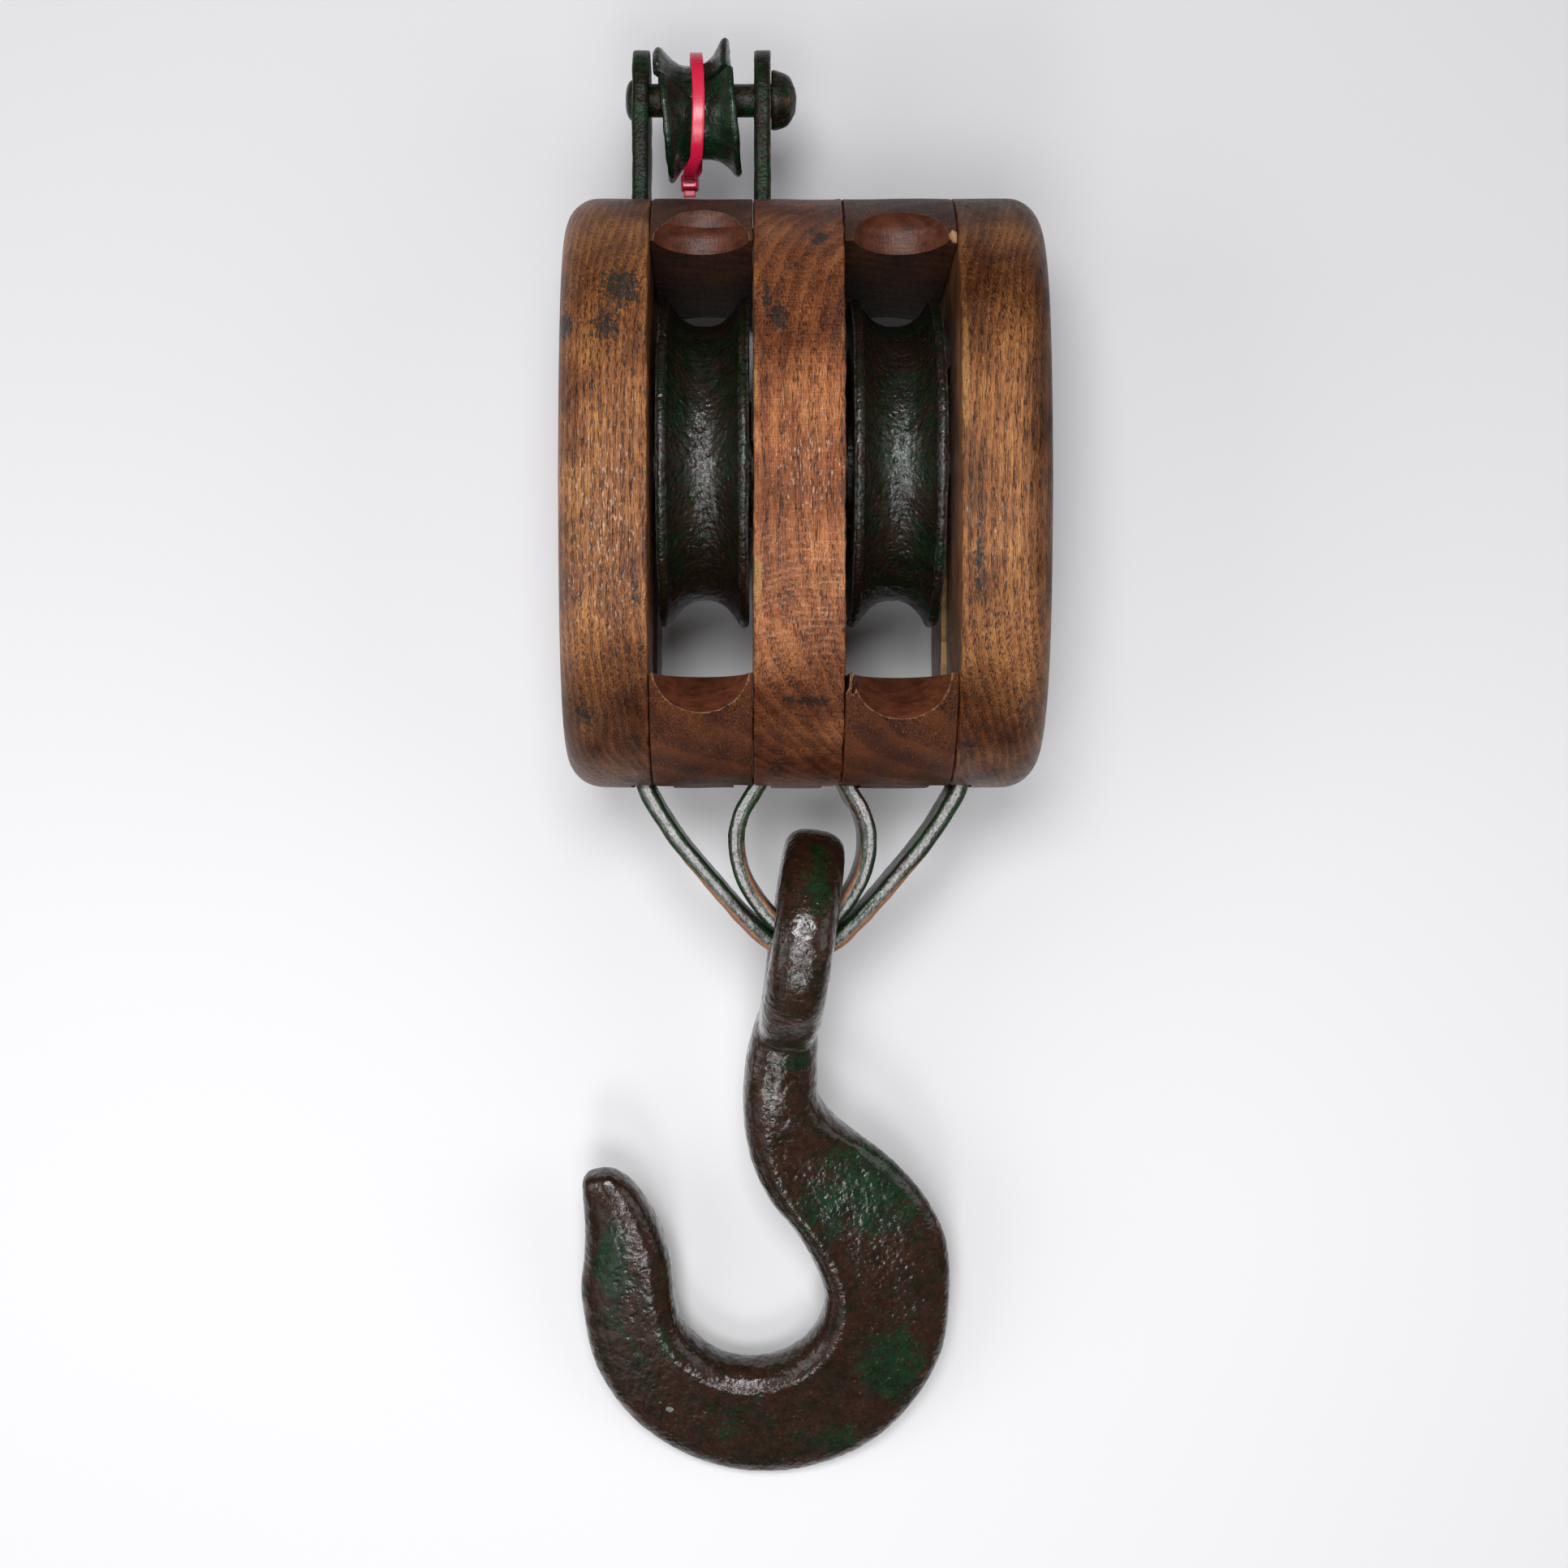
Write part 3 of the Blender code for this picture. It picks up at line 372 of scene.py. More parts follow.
BECKET_IRON = painted_iron("becket_iron", (0.004, 0.024, 0.008), (0.014, 0.008, 0.005), 3.0, 0.6,
                           pebble=1.1, depth=0.2, gloss=0.16, bare=(0.12, 0.115, 0.10), shine=0.14)
THIMBLE_IRON = painted_iron("thimble_iron", (0.004, 0.028, 0.011), (0.014, 0.010, 0.006), 4.0, 0.6,
                            pebble=1.2, depth=0.16, gloss=0.12, bare=(0.5, 0.46, 0.4), fleck=0.5,
                            shine=0.3,
                            enamel=0.6)
HOOK_IRON = painted_iron("hook_iron", (0.005, 0.030, 0.010), (0.030, 0.0115, 0.006), 5.0, 0.45,
                         pebble=1.8, depth=0.2, gloss=0.03, bare=(0.24, 0.235, 0.22), fleck=0.6,
                         shine=0.22,
                         enamel=0.8)
KEEPER_IRON = painted_iron("keeper_iron", (0.010, 0.040, 0.016), (0.024, 0.014, 0.009), 6.0, 0.6,
                           pebble=1.2, depth=0.1, gloss=0.3)
STEEL = bare_metal("bare_steel", (0.30, 0.28, 0.26), (0.12, 0.085, 0.065), 0.3)
BRONZE = bare_metal("bush_bronze", (0.48, 0.31, 0.13), (0.22, 0.13, 0.06), 0.28)
TIE_PLASTIC = tie_plastic()


# ---------------------------------------------------------------- mesh helpers


def new_piece(name, bm, materials, sharp=SHARP_ANGLE):
    """Makes a smooth-shaded object of a bmesh."""
    bmesh.ops.recalc_face_normals(bm, faces=bm.faces)
    mesh = bpy.data.meshes.new(name)
    bm.to_mesh(mesh)
    bm.free()
    for material in materials:
        mesh.materials.append(material)
    mesh.shade_smooth()
    mesh.set_sharp_from_angle(angle=math.radians(sharp))
    obj = bpy.data.objects.new(name, mesh)
    bpy.context.scene.collection.objects.link(obj)
    return obj


def stand_for(obj, body, slot, *nodes):
    """Keeps a piece inside the CAD box and puts it in the place of its nodes."""
    low, high = cad_box
    for vertex in obj.data.vertices:
        for axis in range(3):
            vertex.co[axis] = min(max(vertex.co[axis], low[axis] + SKIN / 5), high[axis] - SKIN / 5)
    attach(obj, body)
    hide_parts(*nodes)


def loft(rings):
    """A bmesh skin over rings of points, capped at both ends."""
    bm = bmesh.new()
    rows = [[bm.verts.new(point) for point in ring] for ring in rings]
    for row, following in zip(rows, rows[1:]):
        for k in range(len(row)):
            after = (k + 1) % len(row)
            bm.faces.new((row[k], row[after], following[after], following[k]))
    bm.faces.new(rows[0])
    bm.faces.new(rows[-1][::-1])
    return bm


def turned(profile, steps, matrix):
    """A bmesh of (along, radius) points turned about the matrix's Z axis."""
    bm = bmesh.new()
    rows = []
    for k in range(steps):
        angle = 2 * math.pi * k / steps
        ring = [Vector((r * math.cos(angle), r * math.sin(angle), along)) for along, r in profile]
        rows.append([bm.verts.new(matrix @ point) for point in ring])
    for row, following in zip(rows, rows[1:] + rows[:1]):
        for k in range(len(row) - 1):
            bm.faces.new((row[k], row[k + 1], following[k + 1], following[k]))
    bmesh.ops.remove_doubles(bm, verts=bm.verts, dist=1e-6)
    return bm


def placed(place, angle, axis):
    """A matrix that turns about an axis, then moves to the place."""
    return Matrix.Translation(place) @ Matrix.Rotation(angle, 4, axis)


def facing_x(place):
    """A matrix that turns Z to X, then moves to the place."""
    return placed(place, math.pi / 2, "Y")


def heading(points, index):
    """A path's direction at one of its points."""
    before = points[max(0, index - 1)]
    after = points[min(len(points) - 1, index + 1)]
    return (after - before).normalized()


def quarter(steps):
    """(cosine, sine) of the angles from 0 to 90 degrees in equal steps."""
    angles = [math.pi / 2 * k / steps for k in range(steps + 1)]
    return [(math.cos(angle), math.sin(angle)) for angle in angles]


def between(a, b, c, d, t):
    """The Catmull-Rom point a share t of the way from b to c."""
    return 0.5 * (2 * b + t * (c - a) + t * t * (2 * a - 5 * b + 4 * c - d)
                  + t ** 3 * (3 * b - a - 3 * c + d))


def smooth_path(points, step):
    """A smooth curve through (first, second) points, resampled evenly."""
    points = [Vector((*point, 0)) for point in points]
    ends = [2 * points[0] - points[1]] + points + [2 * points[-1] - points[-2]]
    dense = []
    for a, b, c, d in zip(ends, ends[1:], ends[2:], ends[3:]):
        dense += [between(a, b, c, d, k / 24) for k in range(24)]
    dense.append(points[-1])
    dense = np.array([tuple(point) for point in dense])
    lengths = np.concatenate([[0], np.cumsum(np.linalg.norm(np.diff(dense, axis=0), axis=1))])
    count = max(2, round(lengths[-1] / step))
    places = np.linspace(0, lengths[-1], count + 1)
    return [Vector(tuple(np.interp(s, lengths, dense[:, axis]) for axis in range(3))) for s in places]


def ease(value, low, high):
    """0 below low, 1 above high, and smooth between."""
    t = min(1.0, max(0.0, (value - low) / (high - low)))
    return t * t * (3 - 2 * t)


def store(obj, name, values):
    obj.data.attributes.new(name, "FLOAT", "POINT").data.foreach_set("value", values)


def mark(obj, **rules):
    """Stores each rule(position, normal) on the vertices for the materials to read."""
    for name, rule in rules.items():
        store(obj, name, [rule(vertex.co, vertex.normal) for vertex in obj.data.vertices])


def roughen(obj, cell, height, rule=None, octaves=2, seed=0.0):
    """Moves vertices along their normals by noise; rule gives how much at each place."""
    shift = Vector((seed * 13.7, seed * 7.1, seed * 3.3))
    mesh = obj.data
    normals = [vertex.normal.copy() for vertex in mesh.vertices]
    for vertex, normal in zip(mesh.vertices, normals):
        amount = height if rule is None else height * rule(vertex.co, normal)
        if amount:
            value = 0.0
            for octave in range(octaves):
                place = vertex.co * (2 ** octave / cell) + shift
                value += noise.noise(place) / 2 ** octave
            vertex.co += normal * (value * amount)
    mesh.update()


def cube(size, place=(0, 0, 0)):
    bm = bmesh.new()
    bmesh.ops.create_cube(bm, size=1.0)
    bmesh.ops.scale(bm, vec=size, verts=bm.verts)
    bmesh.ops.translate(bm, vec=place, verts=bm.verts)
    return bm


def box_cutter(name, low, high, material):
    size = [b - a for a, b in zip(low, high)]
    return new_piece(name, cube(size, [(a + b) / 2 for a, b in zip(low, high)]), [material])


def rod_cutter(name, radius, length, matrix, material, segments=96):
    bm = bmesh.new()
    bmesh.ops.create_cone(bm, cap_ends=True, segments=segments, radius1=1, radius2=1, depth=length)
    bmesh.ops.scale(bm, vec=(radius, radius, 1), verts=bm.verts)
    bmesh.ops.transform(bm, matrix=matrix, verts=bm.verts)
    return new_piece(name, bm, [material])


def carve(obj, cutters):
    """Cuts the cutters out of a mesh and throws them away; the cut faces take their material."""
    for cutter in cutters:
        modifier = obj.modifiers.new(cutter.name, "BOOLEAN")
        modifier.object = cutter
        modifier.solver = "MANIFOLD"
        modifier.material_mode = "TRANSFER"
        before = len(obj.data.vertices)
        for nudge in range(6):
            cutter.location = Vector((0.011, -0.017, 0.013)) * (nudge * MM)
            bpy.context.view_layer.update()
            mesh = bpy.data.meshes.new_from_object(obj.evaluated_get(bpy.context.evaluated_depsgraph_get()))
            if len(mesh.vertices) > before / 12:
                break
        else:
            raise RuntimeError(f"{cutter.name} takes too much of {obj.name}")
        obj.modifiers.clear()
        obj.data = mesh
        bpy.data.objects.remove(cutter, do_unlink=True)
    obj.data.shade_smooth()
    obj.data.set_sharp_from_angle(angle=math.radians(SHARP_ANGLE))


# ---------------------------------------------------------------- wooden shell


def even_angles(count):
    """Angles that space points evenly round the shell's side view."""
    dense = np.linspace(0, 2 * math.pi, 4001)
    y, z = superellipse(dense, 0.0)
    steps = np.hypot(np.diff(y), np.diff(z))
    lengths = np.concatenate([[0], np.cumsum(steps)])
    return np.interp(np.linspace(0, lengths[-1], count, endpoint=False), lengths, dense)


def superellipse(angles, inset):
    c = np.cos(angles)
    s = np.sin(angles)
    power = 2 / SHELL_POWER
    y = SHELL_Y + (HALF_Y - SKIN - inset) * np.sign(c) * np.abs(c) ** power
    z = SHELL_Z + (HALF_Z - SKIN - inset) * np.sign(s) * np.abs(s) ** power
    return y, z


def rim_radius(radius, angles):
    """A big rim is rounder at the shell's two ends than along its middle."""
    if radius < SMALL_ROUND:
        return np.full(len(angles), radius)
    return radius * (0.52 + 0.48 * np.abs(np.cos(angles)) ** 0.7)


def slab(name, x_low, x_high, r_low, r_high, material, count=520, step=1.1 * MM):
    """A slab of the shell from its low face over the rounded rims to its high face."""
    angles = even_angles(count)
    low = rim_radius(r_low, angles)
    high = rim_radius(r_high, angles)
    still = np.zeros(len(angles))
    profile = [(x_low + still, still + inset) for inset in (46 * MM, 30 * MM, 19 * MM)]
    for c, s in quarter(6 if r_low < SMALL_ROUND else 11):
        profile.append((x_low + low * (1 - c), low * (1 - s)))
    spans = round((x_high - x_low) / step)
    for k in range(1, spans):
        profile.append((x_low + low + (x_high - high - x_low - low) * k / spans, still))
    for c, s in reversed(quarter(6 if r_high < SMALL_ROUND else 11)):
        profile.append((x_high - high * (1 - c), high * (1 - s)))
    profile += [(x_high + still, still + inset) for inset in (19 * MM, 30 * MM, 46 * MM)]
    rings = []
    for x, inset in profile:
        y, z = superellipse(angles, inset)
        rings.append(list(zip(x, y, z)))
    return new_piece(name, loft(rings), [material])


def channel(name, x_low, x_high, y_high):
    """A cutter for the channel that a strap's leg lies in."""
    low = (x_low, SHELL_LOW.y - 20 * MM, SHELL_Z - CHANNEL_HALF)
    return box_cutter(name, low, (x_high, y_high, SHELL_Z + CHANNEL_HALF), CHANNEL_WOOD)


def blobs(places):
    """A rule that is high near each (x, y, half width, half height, strength), in millimetres."""
    def rule(co, normal):
        value = 0.0
        for x, y, half_x, half_y, strength in places:
            distance = math.hypot((co.x / MM - x) / half_x, (co.y / MM - y) / half_y)
            value = max(value, strength * max(0.0, 1 - distance ** 1.5))
        return value if normal.z > -0.2 else 0.0
    return rule


def end_shade_and_grime(co, normal):
    """Painted shade with some grime: darker wood toward the shell's ends and outer edges, 0 to 1."""
    y = co.y / MM
    top = 0.6 if co.x > -20 * MM else 0.48
    ends = max(0.82 * ease(-y, -62, -22), top * ease(y, 138, 165) + 0.2 * ease(y, 196, 212))
    outer = (0.8 if co.x > 0 else 0.3) * ease(abs(co.x) / MM, 76, 84)
    if co.x > 40 * MM:
        ends = max(ends + 0.16 * ease(y, 150, 190), 0.42 * ease(-y, -90, -60))
    cloud = 0.35 * noise.noise(co / (24 * MM))
    return min(1.0, max(0.0, max(ends, outer) + cloud))


def rim_highlights(obj, cut_names, strength):
    """Adds a painted highlight, drawn as rubbed wood, where the front skin meets a cut face of one of the
    named materials.
    """
    mesh = obj.data
    names = [material.name for material in mesh.materials]
    cut = set()
    for face in mesh.polygons:
        if names[face.material_index] in cut_names:
            cut.update(face.vertices)
    values = np.zeros(len(mesh.loops))
    for face in mesh.polygons:
        if names[face.material_index] not in cut_names and face.normal.z > 0.3:
            for loop in face.loop_indices:
                values[loop] = strength if mesh.loops[loop].vertex_index in cut else 0.0
    mesh.attributes.new("rim", "FLOAT", "CORNER").data.foreach_set("value", values)


def gild_ledges(obj):
    """Gives the channel's narrow side walls, rubbed bare, their own bright wood."""
    names = [material.name for material in obj.data.materials]
    obj.data.materials.append(LEDGE_WOOD)
    index = names.index(CHANNEL_WOOD.name)
    for face in obj.data.polygons:
        if face.material_index == index and abs(face.normal.z) > 0.95:
            face.material_index = len(names)


def skin_only(inner_low, inner_high):
    """Full effect on the shell's outside, fading to none on its flat faces."""
    def rule(co, normal):
        inside = min(co.x - inner_low, inner_high - co.x)
        return min(1.0, max(0.0, inside / (2 * MM))) * (1 - abs(normal.x)) ** 0.5
    return rule


def edge_wear(edges, reach=2.6 * MM, patches=()):
    """Wear along the rims at the given X positions, and in patches given as for blobs."""
    spots = blobs(patches)

    def rule(co, normal):
        near = min(abs(co.x - edge) for edge in edges)
        wobble = 1 + 0.8 * noise.noise(Vector((0, co.y / (11 * MM), co.z / (11 * MM))))
        rim = max(0.0, 1 - near / (reach * wobble))
        return max(rim * (1 - 0.85 * abs(normal.x)), spots(co, normal))
    return rule


def dent_rims(obj, edges, depth, seed):
    """Knocks small hollows into the rims."""
    def rule(co, normal):
        near = min(abs(co.x - edge) for edge in edges)
        return max(0.0, 1 - near / (4 * MM))
    roughen(obj, 7 * MM, depth, rule, 3, seed)


def make_cheek(side):
    hand = "left" if side < 0 else "right"
    inner_x = LEFT_SLOT[0] if side < 0 else RIGHT_SLOT[1]
    x_low, x_high = sorted((inner_x, side * (CHEEK_X - SKIN)))
    radii = (CHEEK_EDGE_R, SLOT_EDGE_R) if side < 0 else (SLOT_EDGE_R, CHEEK_EDGE_R)
    cheek = slab(f"cheek_{hand}_wood", x_low, x_high, *radii, CHEEK_WOOD)
    seed = 2.0 + side
    roughen(cheek, 38 * MM, 0.5 * MM, skin_only(x_low, x_high), 2, seed)
    dent_rims(cheek, [inner_x], 0.35 * MM, seed)
    leg_x = OUTER_LEGS[0] if side < 0 else OUTER_LEGS[1]
    floor_x = leg_x + side * (STRAP_T / 2 + GAP)
    open_x = inner_x - side * 8 * MM
    top_y = SHELL_HIGH.y + 20 * MM if side < 0 else STRAP_END_Y + 3 * MM
    cutters = [channel(f"channel_{hand}", *sorted((floor_x, open_x)), top_y)]
    for end in ("bottom", "top"):
        for face in ("back", "front"):
            node = f"washer_{end}_{face}_{hand}"
            centre = middle(node)
            centre.x = side * (CHEEK_X + 1.6 * MM)
            bore = rod_cutter(node + "_bore", 8 * MM, 10 * MM, facing_x(centre), CHANNEL_WOOD, 48)
            cutters.append(bore)
    low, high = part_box("keeper_plate_" + hand)
    inlet = stadium_ring(low.y, high.y, low.z, high.z, 0.35 * MM)
    ends = sorted((side * (CHEEK_X - 3.1 * MM), side * (CHEEK_X + 8 * MM)))
    bm = loft([[(x, y, z) for y, z in inlet] for x in ends])
    cutters.append(new_piece(f"inlet_{hand}", bm, [CHANNEL_WOOD]))
    carve(cheek, cutters)
    if side > 0:
        gild_ledges(cheek)
    rubbed = {
        "left": [(-60, 168, 4, 22, 0.6), (-61, 130, 4, 30, 0.5), (-58.5, 60, 3, 30, 0.55)],
        "right": [(57.5, 150, 3, 60, 0.8), (66, 142, 12, 26, 0.45), (57.5, 60, 3, 40, 0.7)],
    }[hand]
    stains = {
        "left": [(-67, 176, 12, 13, 0.95), (-72, 162, 10, 11, 0.8), (-87, 162, 5, 9, 1.0),
                 (-83, 70, 7, 22, 0.55), (-61, 66, 4, 16, 0.6), (-80, 22, 9, 12, 0.7),
                 (-66, 205, 10, 8, 0.4), (-76, 96, 5, 14, 0.35), (-60, 28, 5, 10, 0.5)],
        "right": [(62, 78, 4, 26, 0.8), (68, 60, 6, 16, 0.5), (80, 24, 9, 14, 0.6), (64, 50, 6, 12, 0.5),
                  (66, 196, 9, 12, 0.5), (82, 158, 6, 20, 0.4), (60, 10, 8, 8, 0.6),
                  (78, 100, 6, 12, 0.35)],
    }[hand]
    # Painted glints: the areas where the wood gets more pale glint flecks.
    glints = [(-74, 92, 22, 62, 1.0), (68, 80, 20, 40, 0.45)]
    mark(cheek, wear=edge_wear([inner_x], 2.6 * MM, rubbed), stain=blobs(stains), glow=blobs(glints),
         shade=end_shade_and_grime)
    stand_for(cheek, "shell", "cheek_wood", "cheek_" + hand)


def ridge_height(co, normal):
    """Broken growth-ring ridges that cross the partition's front below its middle."""
    x = co.x / MM + 2
    y = co.y / MM
    zone = max(0.0, 1 - ((y - 62) / 34) ** 2) * max(0.0, normal.z) ** 2
    arch = 0.16 * x - 0.012 * x * x + 3.2 * noise.noise(Vector((x / 17, y / 21, 3.0)))
    broken = noise.noise(Vector((x / 6, y / 4, 9.0))) + 0.5 * noise.noise(Vector((x / 2.4, y / 2, 4.0)))
    wave = math.sin((y - arch) * 2 * math.pi / 2.6)
    return zone * wave * min(1.0, max(0.0, 0.55 + 1.3 * broken))


def make_partition():
    x_low, x_high = LEFT_SLOT[1], RIGHT_SLOT[0]
    partition = slab("partition_wood", x_low, x_high, SLOT_EDGE_R, SLOT_EDGE_R, PARTITION_WOOD, 760,
                     0.8 * MM)
    roughen(partition, 30 * MM, 0.5 * MM, skin_only(x_low, x_high), 2, 5.0)
    dent_rims(partition, [x_low, x_high], 0.45 * MM, 6.0)
    normals = [vertex.normal.copy() for vertex in partition.data.vertices]
    for vertex, normal in zip(partition.data.vertices, normals):
        height = ridge_height(vertex.co, normal) - 1
        vertex.co += normal * (0.3 * MM * height * max(0.0, normal.z))
    left_floor = INNER_LEGS[0] + STRAP_T / 2 + GAP
    right_floor = INNER_LEGS[1] - STRAP_T / 2 - GAP
    cutters = [
        channel("partition_left_channel", x_low - 8 * MM, left_floor, SHELL_HIGH.y + 20 * MM),
        channel("partition_right_channel", right_floor, x_high + 8 * MM, STRAP_END_Y + 3 * MM),
    ]
    carve(partition, cutters)
    gild_ledges(partition)
    rubbed = [(-17.5, 70, 3.5, 16, 1.1), (-18, 140, 2, 30, 0.8), (-18, 100, 2, 30, 0.6),
              (13.5, 80, 2, 50, 0.7), (-8, 186, 9, 6, 0.4), (-17, 42, 3, 9, 0.7), (2, 150, 8, 26, 0.35)]
    stains = [(-10, 165, 5, 9, 1.0), (-14, 172, 3, 14, 0.8), (5, 196, 7, 7, 0.85), (-3, 184, 6, 4, 0.6),
              (9, 207, 6, 6, 0.6), (6, 100, 5, 9, 0.5), (-2, 50, 14, 8, 0.4), (2, 27, 16, 4, 0.75),
              (-9, 4, 12, 7, 0.6), (8, 66, 6, 16, 0.45)]
    # Painted highlights here: the sheen on the ridge crests and the glint areas.
    mark(partition, wear=edge_wear([x_low, x_high], 1.8 * MM, rubbed), stain=blobs(stains),
         sheen=lambda co, normal: 1.3 * max(0.0, ridge_height(co, normal)),
         glow=blobs([(0, 112, 22, 36, 0.9), (4, 62, 16, 26, 0.6)]), shade=end_shade_and_grime)
    stand_for(partition, "shell", "partition_wood", "partition")


def nose_cutter(name, centre, radii, tail, turn=Matrix.Identity(4)):
    """A cutter that is an elliptic rod along Y with a round nose at its high end."""
    spans = [(y, 1.0) for y in np.linspace(-tail, 0, 6)[:-1]]
    spans += [(radii[1] * s, c) for c, s in quarter(14)[:-1]]
    count = 72
    rings = []
    for y, size in spans:
        ring = []
        for k in range(count):
            angle = 2 * math.pi * k / count
            ring.append(Vector((radii[0] * size * math.cos(angle), y, radii[2] * size * math.sin(angle))))
        rings.append([centre + (turn @ point) for point in ring])
    return new_piece(name, loft(rings), [SCORE_WOOD])


def make_spacer(name, slot, at_top, chips):
    """Chips are (x, y, z, three radii, turn about Z) in millimetres, on the front."""
    gap = 0.35 * MM
    wood_kind = SPACER_WOOD if at_top else FOOT_WOOD
    piece = slab(name + "_wood", slot[0] + gap, slot[1] - gap, 0.7 * MM, 0.7 * MM, wood_kind, 560,
                 1.3 * MM)
    seed = 8.0 + slot[0] / 0.03
    roughen(piece, 26 * MM, 0.4 * MM, skin_only(slot[0], slot[1]), 2, seed)
    middle_x = (slot[0] + slot[1]) / 2
    cutters = []
    if at_top:
        bm = cube((1, 1, 1), (0, -0.5, 0))
        pivot = Vector((middle_x, TOP_FACE_FRONT, SHELL_Z + SLOPE_HALF))
        lean = math.atan((TOP_FACE_FRONT - TOP_FACE_BACK) / (2 * SLOPE_HALF))
        turn = placed(pivot, -lean, "X")
        bmesh.ops.transform(bm, matrix=turn, verts=bm.verts)
        cutters.append(new_piece(name + "_rest", bm, [wood_kind]))
    else:
        low = (-1, BOTTOM_FACE, -1)
        cutters.append(box_cutter(name + "_rest", low, (1, SHELL_HIGH.y + 200 * MM, 1), wood_kind))
    for face in (1, -1):
        if at_top:
            centre = Vector((middle_x, 200.3 * MM, SHELL_Z + face * 67 * MM))
            radii = (18.2 * MM, 10.2 * MM, 24 * MM)
            if slot == LEFT_SLOT and face > 0:
                centre.y -= 3.0 * MM
            cutters.append(nose_cutter(f"{name}_score_{face}", centre, radii, 55 * MM))
            if slot == LEFT_SLOT and face < 0:
                worn = Vector((middle_x + 0.5 * MM, 202.2 * MM, SHELL_Z + 71 * MM))
                turn = Matrix.Rotation(0.2, 3, "X")
                cutters.append(nose_cutter(name + "_worn", worn, (17.6 * MM, 9.4 * MM, 24 * MM),
                                           50 * MM, turn))
        else:
            lean = math.radians(25)
            deeper = 3.0 * MM if slot == RIGHT_SLOT and face > 0 else 0.0
            y = BOTTOM_FACE + SCOOP_R * math.cos(lean) - deeper
            z = SHELL_Z + face * (HALF_Z - 43 * MM + SCOOP_R * math.sin(lean))
            matrix = placed((middle_x, y, z), face * lean, "X")
            cutters.append(rod_cutter(f"{name}_scoop_{face}", SCOOP_R, 120 * MM, matrix, SCOOP_WOOD))
    if not at_top:
        for number, x in enumerate(slot):
            low = (x - NOTCH_HALF, -20 * MM, SHELL_Z - CHANNEL_HALF)
            high = (x + NOTCH_HALF, NOTCH_TOP_Y, SHELL_Z + CHANNEL_HALF)
            cutters.append(box_cutter(f"{name}_notch_{number}", low, high, CHANNEL_WOOD))
    for number, (x, y, z, size, turn) in enumerate(chips):
        bm = bmesh.new()
        bmesh.ops.create_icosphere(bm, subdivisions=3, radius=1.0)
        for vertex in bm.verts:
            vertex.co *= 1 + 0.35 * noise.noise(vertex.co * 1.7 + Vector((number, 3, 5)))
        bmesh.ops.scale(bm, vec=[value * MM for value in size], verts=bm.verts)
        matrix = placed((x * MM, y * MM, z * MM), turn, "Z")
        bmesh.ops.transform(bm, matrix=matrix, verts=bm.verts)
        cutters.append(new_piece(f"{name}_chip_{number}", bm, [RAW_WOOD if at_top else SCORE_WOOD]))
    carve(piece, cutters)
    mark(piece, wear=edge_wear(list(slot), 1.2 * MM))
    rim_highlights(piece, (SCORE_WOOD.name, SCOOP_WOOD.name), 0.8 if at_top else 1.4)
    # Darker wood toward the shell's bottom end, stored as stain.
    foot_darkening = [(middle_x / MM, 22, 16, 8, 0.35), (middle_x / MM - 6, 2, 14, 7, 0.5)]
    mark(piece, stain=blobs(foot_darkening))
    stand_for(piece, "shell", "spacer_wood", name)


# ---------------------------------------------------------------- straps


def rounded_section(half_t, half_w, radius, per_corner, along):
    """A rounded rectangle as (across the thickness, across the width) points."""
    points = []
    corners = [(1, 1, 0), (-1, 1, 90), (-1, -1, 180), (1, -1, 270)]
    for index, (sx, sy, start) in enumerate(corners):
        for k in range(per_corner + 1):
            angle = math.radians(start + 90 * k / per_corner)
            points.append((sx * (half_t - radius) + radius * math.cos(angle),
                           sy * (half_w - radius) + radius * math.sin(angle)))
        nxt = corners[(index + 1) % 4]
        last = points[-1]
        angle = math.radians(start + 90)
        first = (nxt[0] * (half_t - radius) + radius * math.cos(angle),
                 nxt[1] * (half_w - radius) + radius * math.sin(angle))
        for k in range(1, along):
            points.append((last[0] + (first[0] - last[0]) * k / along,
                           last[1] + (first[1] - last[1]) * k / along))
    return points


def strap_wear_sheen_rust(across, edge, y, outer):
    """Wear with a painted highlight, and rust, at a place of a strap: across is -1 on the outside to 1 on
    the inside.
    """
    if not edge:
        return 0.0, 0.5 if outer else 0.35
    place = noise.noise(Vector((y / (9 * MM), 2.0 if outer else 5.0, 0)))
    low = ease(-y, 22 * MM, 58 * MM)
    centre = 0.1 if outer else -0.25
    width = 0.62 + 0.2 * place
    # The pale band along the front edge is partly real wear and partly a painted highlight.
    band = max(0.0, 1 - ((across - centre) / width) ** 2)
    wear = band * (0.86 - (0.26 if outer else 0.16) * low)
    if y > SHELL_HIGH.y - 20 * MM:
        wear *= 0.5
    rusty = max(0.0, -across - 0.25) if outer else max(0.0, across - 0.15)
    rust = rusty * (0.5 + 0.9 * low) + 0.15 * low
    return wear, min(1.2, rust * 1.5)


